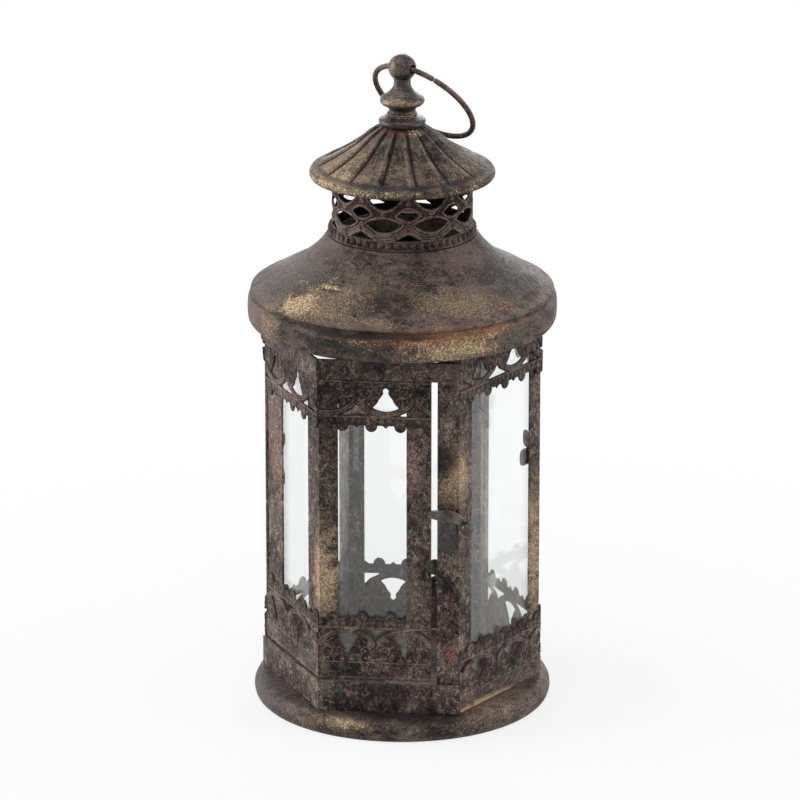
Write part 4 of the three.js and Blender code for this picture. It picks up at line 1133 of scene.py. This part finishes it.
# %% The strips' motif as formulas
PITCH = 28.2
LOBE_RADIUS = 2.95
VALLEY = 3.2
POINT_TIP = 1.8
POINT_HEIGHT = 1.4
POINT_HALF_WIDTH = 1.45
LINE_DEPTH = 8.3
BELL_MOUTH = 10.5
BELL_BOW = 1.8
BELL_DEPTHS = [12.3, 13.4, 15.2, 16.4, 17.8, 19.5, 20.8, 21.7, 22.4]
BELL_WIDTHS = [6.4, 5.2, 3.75, 3.35, 2.3, 1.1, 1.45, 1.1, 0.0]
SPANDREL_DEPTHS = [0, 0.6, 1.8, 3.2, 4.4, 5.4]
SPANDREL_WIDTHS = [7.0, 6.8, 4.3, 1.8, 1.0, 0.0]
SCROLLS = [
    (9.2, 19.6, 2.1, 40), (5.4, 22.9, 1.5, 150), (12.0, 23.2, 1.3, -60), (10.7, 15.3, 1.2, 200),
    (2.3, 24.2, 0.8, 90),
]
LOBE_RING = 1.7
EGG_DEPTH = 5.6
EGG_SIZE = (1.25, 1.6)
ARCH_CENTRE = 26.1
ARCH_RADII = [17.5, 16.3]
ARCH_LOWEST = 20
ARCH_REACH = 13.4
BORDER_DEPTH = 26.1
LINES = [(7.6, 0.5, 0.8), (25.4, 0.55, 0.8), (33.2, 0.7, 0.6)]
PETALS = [
    (6.6, 17.6, 40), (7.5, 20.9, -30), (11.9, 19.2, 75), (9.3, 23.2, 20), (12.9, 16.6, -60), (8.2, 14.2, 65),
]


def half_opening(depth, depths, widths):
    """Half an opening's width at a depth. Past the end of the opening it falls below zero."""
    return np.interp(depth, depths, widths) - np.maximum(0, depth - depths[-1])


def motif_metal(along, depth, bell):
    """Positive where the strip has metal, at a place along it and a depth from its lobes."""
    from_bell = np.abs((along - bell + PITCH / 2) % PITCH - PITCH / 2)
    from_gap = PITCH / 2 - from_bell
    from_lobe = (along - bell) % (PITCH / 2) - PITCH / 4
    from_point = np.abs((along - bell + PITCH / 4) % (PITCH / 2) - PITCH / 4)
    lobes = LOBE_RADIUS - np.hypot(from_lobe, depth - LOBE_RADIUS)
    points = 0.7 * (POINT_HALF_WIDTH * (depth - POINT_TIP) / POINT_HEIGHT - from_point)
    edge = np.maximum.reduce([depth - VALLEY, lobes, points])
    sill = BELL_MOUTH + BELL_BOW * (from_bell / BELL_WIDTHS[0]) ** 2
    bell_width = half_opening(depth, BELL_DEPTHS, BELL_WIDTHS)
    bell_open = np.minimum(0.8 * (bell_width - from_bell), depth - sill)
    past_line = depth - LINE_DEPTH
    gap_width = half_opening(past_line, SPANDREL_DEPTHS, SPANDREL_WIDTHS)
    gap_open = np.minimum(0.7 * (gap_width - from_gap), past_line)
    return np.minimum.reduce([edge, -bell_open, -gap_open])


def motif_relief(along, depth, bell):
    """How far the strip is pressed out, from 0 to 1."""
    from_bell = np.abs((along - bell + PITCH / 2) % PITCH - PITCH / 2)
    from_lobe = (along - bell) % (PITCH / 2) - PITCH / 4
    egg = (along - bell) % (PITCH / 8) - PITCH / 16
    arch = np.hypot(from_bell, depth - ARCH_CENTRE)
    in_arch = (depth < ARCH_LOWEST) & (from_bell < ARCH_REACH)
    layers = [
        0.35 * ridge(np.hypot(from_lobe, depth - LOBE_RADIUS) - LOBE_RING, 0.7),
        0.45 * ridge(np.hypot(egg / EGG_SIZE[0], (depth - EGG_DEPTH) / EGG_SIZE[1]), 1),
        np.where(depth > BORDER_DEPTH, 0.28, 0),
    ]
    layers += [height * ridge(depth - down, line_width) for down, line_width, height in LINES]
    layers += [0.8 * np.where(in_arch, ridge(arch - radius, 0.5), 0) for radius in ARCH_RADII]
    for across, down, radius, opening in SCROLLS:
        reach = np.hypot(from_bell - across, depth - down)
        facing = np.arctan2(depth - down, from_bell - across) - math.radians(opening)
        curl = np.where(np.cos(facing) < 0.35, ridge(reach - radius, 0.5), 0)
        layers += [0.75 * curl, 0.8 * ridge(reach, 0.6)]
    for across, down, turn in PETALS:
        lean = math.radians(turn)
        longways = (from_bell - across) * math.cos(lean) + (depth - down) * math.sin(lean)
        sideways = (depth - down) * math.cos(lean) - (from_bell - across) * math.sin(lean)
        layers.append(0.65 * ridge(np.hypot(longways / 1.5, sideways / 0.6), 1))
    return np.maximum.reduce(layers)


# %% The twelve strips
STRIP_HEIGHT = 34.4
FLOOR_OF_BODY = 11.3
FIXED_STRIP_TOP = 203.3
DOOR_BOTTOM = 27.6
DOOR_TOP = 181.3
DOOR_UPPER_STRIP = 26.1
BACK_STRIP_EXTRA = 2.9
DOOR_LEFT_EDGE = -29.65
DOOR_RIGHT_EDGE = 20.5
trim_half = trim_inner * HALF_SIDE - FIT


def strip(node, face, span, bell, bottom, height, lobes_up, seed):
    """One ornament strip, laid on its face with its lobes up or down."""
    def depth(up):
        return bottom + height - up if lobes_up else up - bottom

    def place(along, up, out):
        meets_corner = np.clip((np.abs(along) - trim_half + 2) / 2, 0, 1)
        along = along + np.sign(along) * out * HALF_SIDE * meets_corner
        x, y = on_face(face, along, trim_inner + out)
        return np.stack([x, y, up], -1)

    made = stamped_sheet(
        node + "_dressed", span, (bottom, bottom + height),
        lambda along, up: motif_metal(along, depth(up), bell),
        lambda along, up: motif_relief(along, depth(up), bell),
        place, seed)
    settle(made, node, stamped_iron)


whole_face = (-trim_half, trim_half)
fixed_upper_foot = FIXED_STRIP_TOP - STRIP_HEIGHT
door_upper_foot = DOOR_TOP - DOOR_UPPER_STRIP
for seed, (face, bell) in enumerate({"right": 10.4, "back_right": 0, "back": 10.9, "back_left": -4}.items()):
    lower_height = STRIP_HEIGHT + (0 if face == "right" else BACK_STRIP_EXTRA)
    strip(face + "_upper_strip", face, whole_face, bell, fixed_upper_foot, STRIP_HEIGHT, False, 10 + seed)
    strip(face + "_lower_strip", face, whole_face, bell, FLOOR_OF_BODY, lower_height, True, 20 + seed)
for seed, (face, span, upper, lower) in enumerate([
    ("left", (DOOR_LEFT_EDGE, trim_half), 9.2, 9.2),
    ("front", (-trim_half, DOOR_RIGHT_EDGE), -1.5, 7.5),
]):
    node = f"door_{face}_"
    strip(node + "upper_strip", face, span, upper, door_upper_foot, DOOR_UPPER_STRIP, False, 30 + seed)
    strip(node + "lower_strip", face, span, lower, DOOR_BOTTOM, STRIP_HEIGHT, True, 40 + seed)

# %% [markdown]
# ## Collar
# The collar is a strip of the same kind of stamping, rolled into a tube. It has nine equal bays of lens
# openings over triple-lined festoons. The bay is stamped once, on its part of the cylinder, and Geometry
# Nodes repeat it round the axis and merge the seams.

# %% One bay of the collar
COLLAR_RADIUS = 34.3
COLLAR_INNER = 33.4
COLLAR_BAYS = 9
COLLAR_TURN = math.radians(11)
COLLAR_FOOT = 238.8
COLLAR_HEAD = 273.8
COLLAR_STEP = 0.42
# The collar's inside is marked below all relief, so that its metal darkens it there, partly as painted shade.
COLLAR_BACK_MARK = -1.0
TOP_LENS_CUT = 264.8
TENT_TOP = 246.8
TENT_FOOT = 243.6
TENT_SLOPE = 0.52
FESTOON_ENDS = 252.6
FESTOON_SAG = 9.6
FESTOON_HALF = 12.2
FESTOON_LINES = (0.0, 1.35, 2.7)
FESTOON_HIGHEST = 252.2
COLLAR_LINE = 266.2
HIGH_BOSS = 262.6
LOW_BOSS = 256.8
bay = 2 * math.pi * COLLAR_RADIUS / COLLAR_BAYS


def lens(along, up, half, middle, above, below):
    """Positive inside a lens that reaches above and below its middle height."""
    fall = 1 - (along / half) ** 2
    return 0.8 * np.minimum(middle + above * fall - up, up - middle + below * fall)


def collar_openings(along, up):
    """Positive inside an opening. The small lens stands in the middle of the bay."""
    beside = bay / 2 - np.abs(along)
    return np.maximum.reduce([
        np.minimum(lens(beside, up, half=8.9, middle=264.7, above=3.0, below=5.6), TOP_LENS_CUT - up),
        lens(along, up, half=5.2, middle=256.3, above=2.7, below=2.3),
        lens(beside, up, half=8.7, middle=251.4, above=2.7, below=3.6),
        np.minimum(0.8 * (TENT_TOP - up - TENT_SLOPE * np.abs(along)), up - TENT_FOOT),
    ])


def collar_relief(along, up):
    """How far the collar is pressed out: rims, a line near the top, three festoons and two bosses."""
    beside = bay / 2 - np.abs(along)
    festoon = FESTOON_ENDS - FESTOON_SAG * np.sqrt(np.clip(1 - (beside / FESTOON_HALF) ** 2, 0, 1))
    gap = collar_openings(along, up)
    layers = [0.9 * ridge(gap + 0.75, 0.5), 0.6 * ridge(up - COLLAR_LINE, 0.6)]
    for rise in FESTOON_LINES:
        line = festoon + rise
        layers.append(0.9 * np.where(up < FESTOON_HIGHEST, ridge(up - line, 0.55), 0))
    layers.append(0.8 * ridge(np.hypot(along, up - HIGH_BOSS), 1.5))
    layers.append(0.8 * ridge(np.hypot(beside / 1.6, up - LOW_BOSS), 1.1))
    return np.maximum.reduce(layers)


def on_collar(along, up, out):
    """Rolls a place on the flat bay onto the collar's cylinder."""
    turn = along / COLLAR_RADIUS + COLLAR_TURN
    radius = COLLAR_INNER + out
    return np.stack([radius * np.sin(turn), -radius * np.cos(turn), up], -1)


collar_bay = stamped_sheet(
    "collar_bay", (-bay / 2, bay / 2), (COLLAR_FOOT, COLLAR_HEAD),
    lambda along, up: -collar_openings(along, up), collar_relief, on_collar,
    seed=50, step=COLLAR_STEP, open_ends=True, back_mark=COLLAR_BACK_MARK)
print("one bay:", len(collar_bay.data.polygons), "faces")

# %% Geometry Nodes tree that repeats a bay round the axis
COLLAR_SEAM = 0.05

round_axis = new_tree("round_axis", "Geometry", {
    "Geometry": "Geometry", "Count": "Int", "Seam": "Float", "Material": "Material",
}, {"Geometry": "Geometry"})
tree = round_axis
given = add_node(tree, "NodeGroupInput")
count = given.outputs["Count"]
posts = add_node(tree, "GeometryNodeMeshLine", {"Count": count, "Offset": (0, 0, 0)})
number = add_node(tree, "GeometryNodeInputIndex").outputs[0]
turn = maths(tree, "MULTIPLY", number, maths(tree, "DIVIDE", 2 * math.pi, count))
turned = add_node(tree, "ShaderNodeCombineXYZ", {"Z": turn})
copies = add_node(tree, "GeometryNodeInstanceOnPoints", {
    "Points": posts.outputs[0], "Instance": given.outputs["Geometry"], "Rotation": turned.outputs[0],
})
end_tree(tree, given, copies.outputs[0], given.outputs["Seam"])

collar = grow("collar_dressed", round_axis, {
    "Count": COLLAR_BAYS, "Seam": COLLAR_SEAM * MM, "Material": collar_iron,
}, collar_bay)
settle(collar, "collar", collar_iron)

# %% [markdown]
# ## Beads
# A row of upright oval beads runs round the collar's foot, and much finer ones along the foot of the right
# side. One tree sets beads on a circle and another along a line, each with its own count.

# %% Geometry Nodes trees for beads
BEAD_PATHS = {
    "circle": {"Radius": "Float", "Level": "Float"},
    "line": {"Start": "Vector", "End": "Vector"},
}
BEAD_FINENESS = {"circle": 3, "line": 2}


def bead_tree(name, path_kind):
    """A tree that sets beads along a circle or a straight line."""
    made = new_tree(name, "Geometry", {
        "Count": "Int", "Bead Size": "Vector", "Material": "Material", **BEAD_PATHS[path_kind],
    }, {"Geometry": "Geometry"})
    given = add_node(made, "NodeGroupInput")
    if path_kind == "circle":
        circle = add_node(made, "GeometryNodeCurvePrimitiveCircle", {"Radius": given.outputs["Radius"]})
        level = add_node(made, "ShaderNodeCombineXYZ", {"Z": given.outputs["Level"]})
        path = add_node(made, "GeometryNodeTransform", {
            "Geometry": circle.outputs[0], "Translation": level.outputs[0],
        })
    else:
        path = add_node(made, "GeometryNodeCurvePrimitiveLine", {
            "Start": given.outputs["Start"], "End": given.outputs["End"],
        })
    marks = add_node(made, "GeometryNodeCurveToPoints", {
        "Curve": path.outputs[0], "Count": given.outputs["Count"],
    })
    bead = add_node(made, "GeometryNodeMeshIcoSphere", {
        "Radius": 0.5, "Subdivisions": BEAD_FINENESS[path_kind],
    })
    ahead = add_node(made, "ShaderNodeSeparateXYZ", {0: marks.outputs["Tangent"]})
    turn = maths(made, "ARCTAN2", ahead.outputs["Y"], ahead.outputs["X"])
    turned = add_node(made, "ShaderNodeCombineXYZ", {"Z": turn})
    beads = add_node(made, "GeometryNodeInstanceOnPoints", {
        "Points": marks.outputs["Points"], "Instance": bead.outputs["Mesh"],
        "Scale": given.outputs["Bead Size"], "Rotation": turned.outputs[0],
    })
    end_tree(made, given, beads.outputs[0])
    return made


beads_round = bead_tree("beads_round", "circle")
beads_along = bead_tree("beads_along", "line")
print("bead trees:", len(beads_round.nodes), len(beads_along.nodes), "nodes")

# %% The bead ring at the collar's foot
BEAD_COUNT = 57
BEAD_SIZE = (3.5, 2.6, 4.3)
BEAD_CIRCLE = 35.1
BEAD_LEVEL = 241.0

beads = grow("collar_beads", beads_round, {
    "Count": BEAD_COUNT, "Bead Size": [v * MM for v in BEAD_SIZE], "Material": stamped_iron,
    "Radius": BEAD_CIRCLE * MM, "Level": BEAD_LEVEL * MM,
})
ring_band = spun("bead_ring_dressed", flowing([
    (34.6, 238.8), (35.6, 238.8), (36.2, 239.1), (35.9, 239.7),
    (35.2, 240.1), (35.0, 241.4), (35.1, 242.6), (34.6, 243.1),
], 3), steps=144)


def join_to(piece, other):
    """Adds another object's mesh to a piece and removes that object."""
    shell = bmesh.new()
    shell.from_mesh(piece.data)
    shell.from_mesh(other.data)
    shell.to_mesh(piece.data)
    shell.free()
    bpy.data.objects.remove(other)
    look_outwards(piece.data)


join_to(ring_band, beads)
settle(ring_band, "bead_ring", spun_iron)

# %% The gilt beads along the foot of the right side
EDGE_BEAD_SIZE = (0.95, 0.95, 1.33)
EDGE_BEAD_COUNT = 60
EDGE_BEAD_LEVEL = 12.5
EDGE_BEAD_PROUD = 0.2
EDGE_BEAD_MARGIN = 1.0

edge_apothem = trim_inner + STAMP_SHEET + EDGE_BEAD_PROUD
edge_reach = trim_half - EDGE_BEAD_MARGIN
edge_start = (*on_face("right", -edge_reach, edge_apothem), EDGE_BEAD_LEVEL)
edge_end = (*on_face("right", edge_reach, edge_apothem), EDGE_BEAD_LEVEL)
edge_beads = grow("right_lower_beads", beads_along, {
    "Count": EDGE_BEAD_COUNT, "Bead Size": [v * MM for v in EDGE_BEAD_SIZE], "Material": gilt_edge,
    "Start": [v * MM for v in edge_start], "End": [v * MM for v in edge_end],
})
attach(edge_beads, body_of["right_lower_strip"])
print("edge beads:", EDGE_BEAD_COUNT)

# %% [markdown]
# ## Small hardware
# The hinges, the nut and the latch are cut, filed and bent, and their solids have the real outlines. They
# are copied with rounded edges as the posts are. The latch is rounder than the hinges, because hands have
# worn it.

# %% Hinges, nut, latch plate, rivet and lever
HINGE_ROUND = 0.12
LATCH_ROUND = 0.3
LEVER_ROUND = 0.6

hinge_parts = [f"{level}_hinge_{part}" for part in ("post_leaf", "door_leaf", "pin")
               for level in ("lower", "upper")]
for node in [*hinge_parts, "finial_nut"]:
    settle(rounded_copy(node, HINGE_ROUND, 2, 40), node, dark_wire)
for node, rounding, finish in [
    ("latch_plate", LATCH_ROUND, latch_iron),
    ("latch_rivet", LATCH_ROUND, latch_iron),
    ("latch_lever", LEVER_ROUND, lever_iron),
]:
    settle(rounded_copy(node, rounding, 4, 40), node, finish)

# %% [markdown]
# The knob is a small ball on the end of the lever, worn smooth by fingers. Its solid has flat facets, so a
# finer ball takes its place, with its centre and its radius read from the node's box.

# %% The latch knob
knob_low, knob_high = (Vector(corner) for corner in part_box("latch_knob"))
knob_shape = bmesh.new()
bmesh.ops.create_uvsphere(
    knob_shape, u_segments=40, v_segments=24, radius=(knob_high.z - knob_low.z) / 2,
    matrix=Matrix.Translation((knob_low + knob_high) / 2))
settle(from_shell("latch_knob_dressed", knob_shape), "latch_knob", knob_iron)
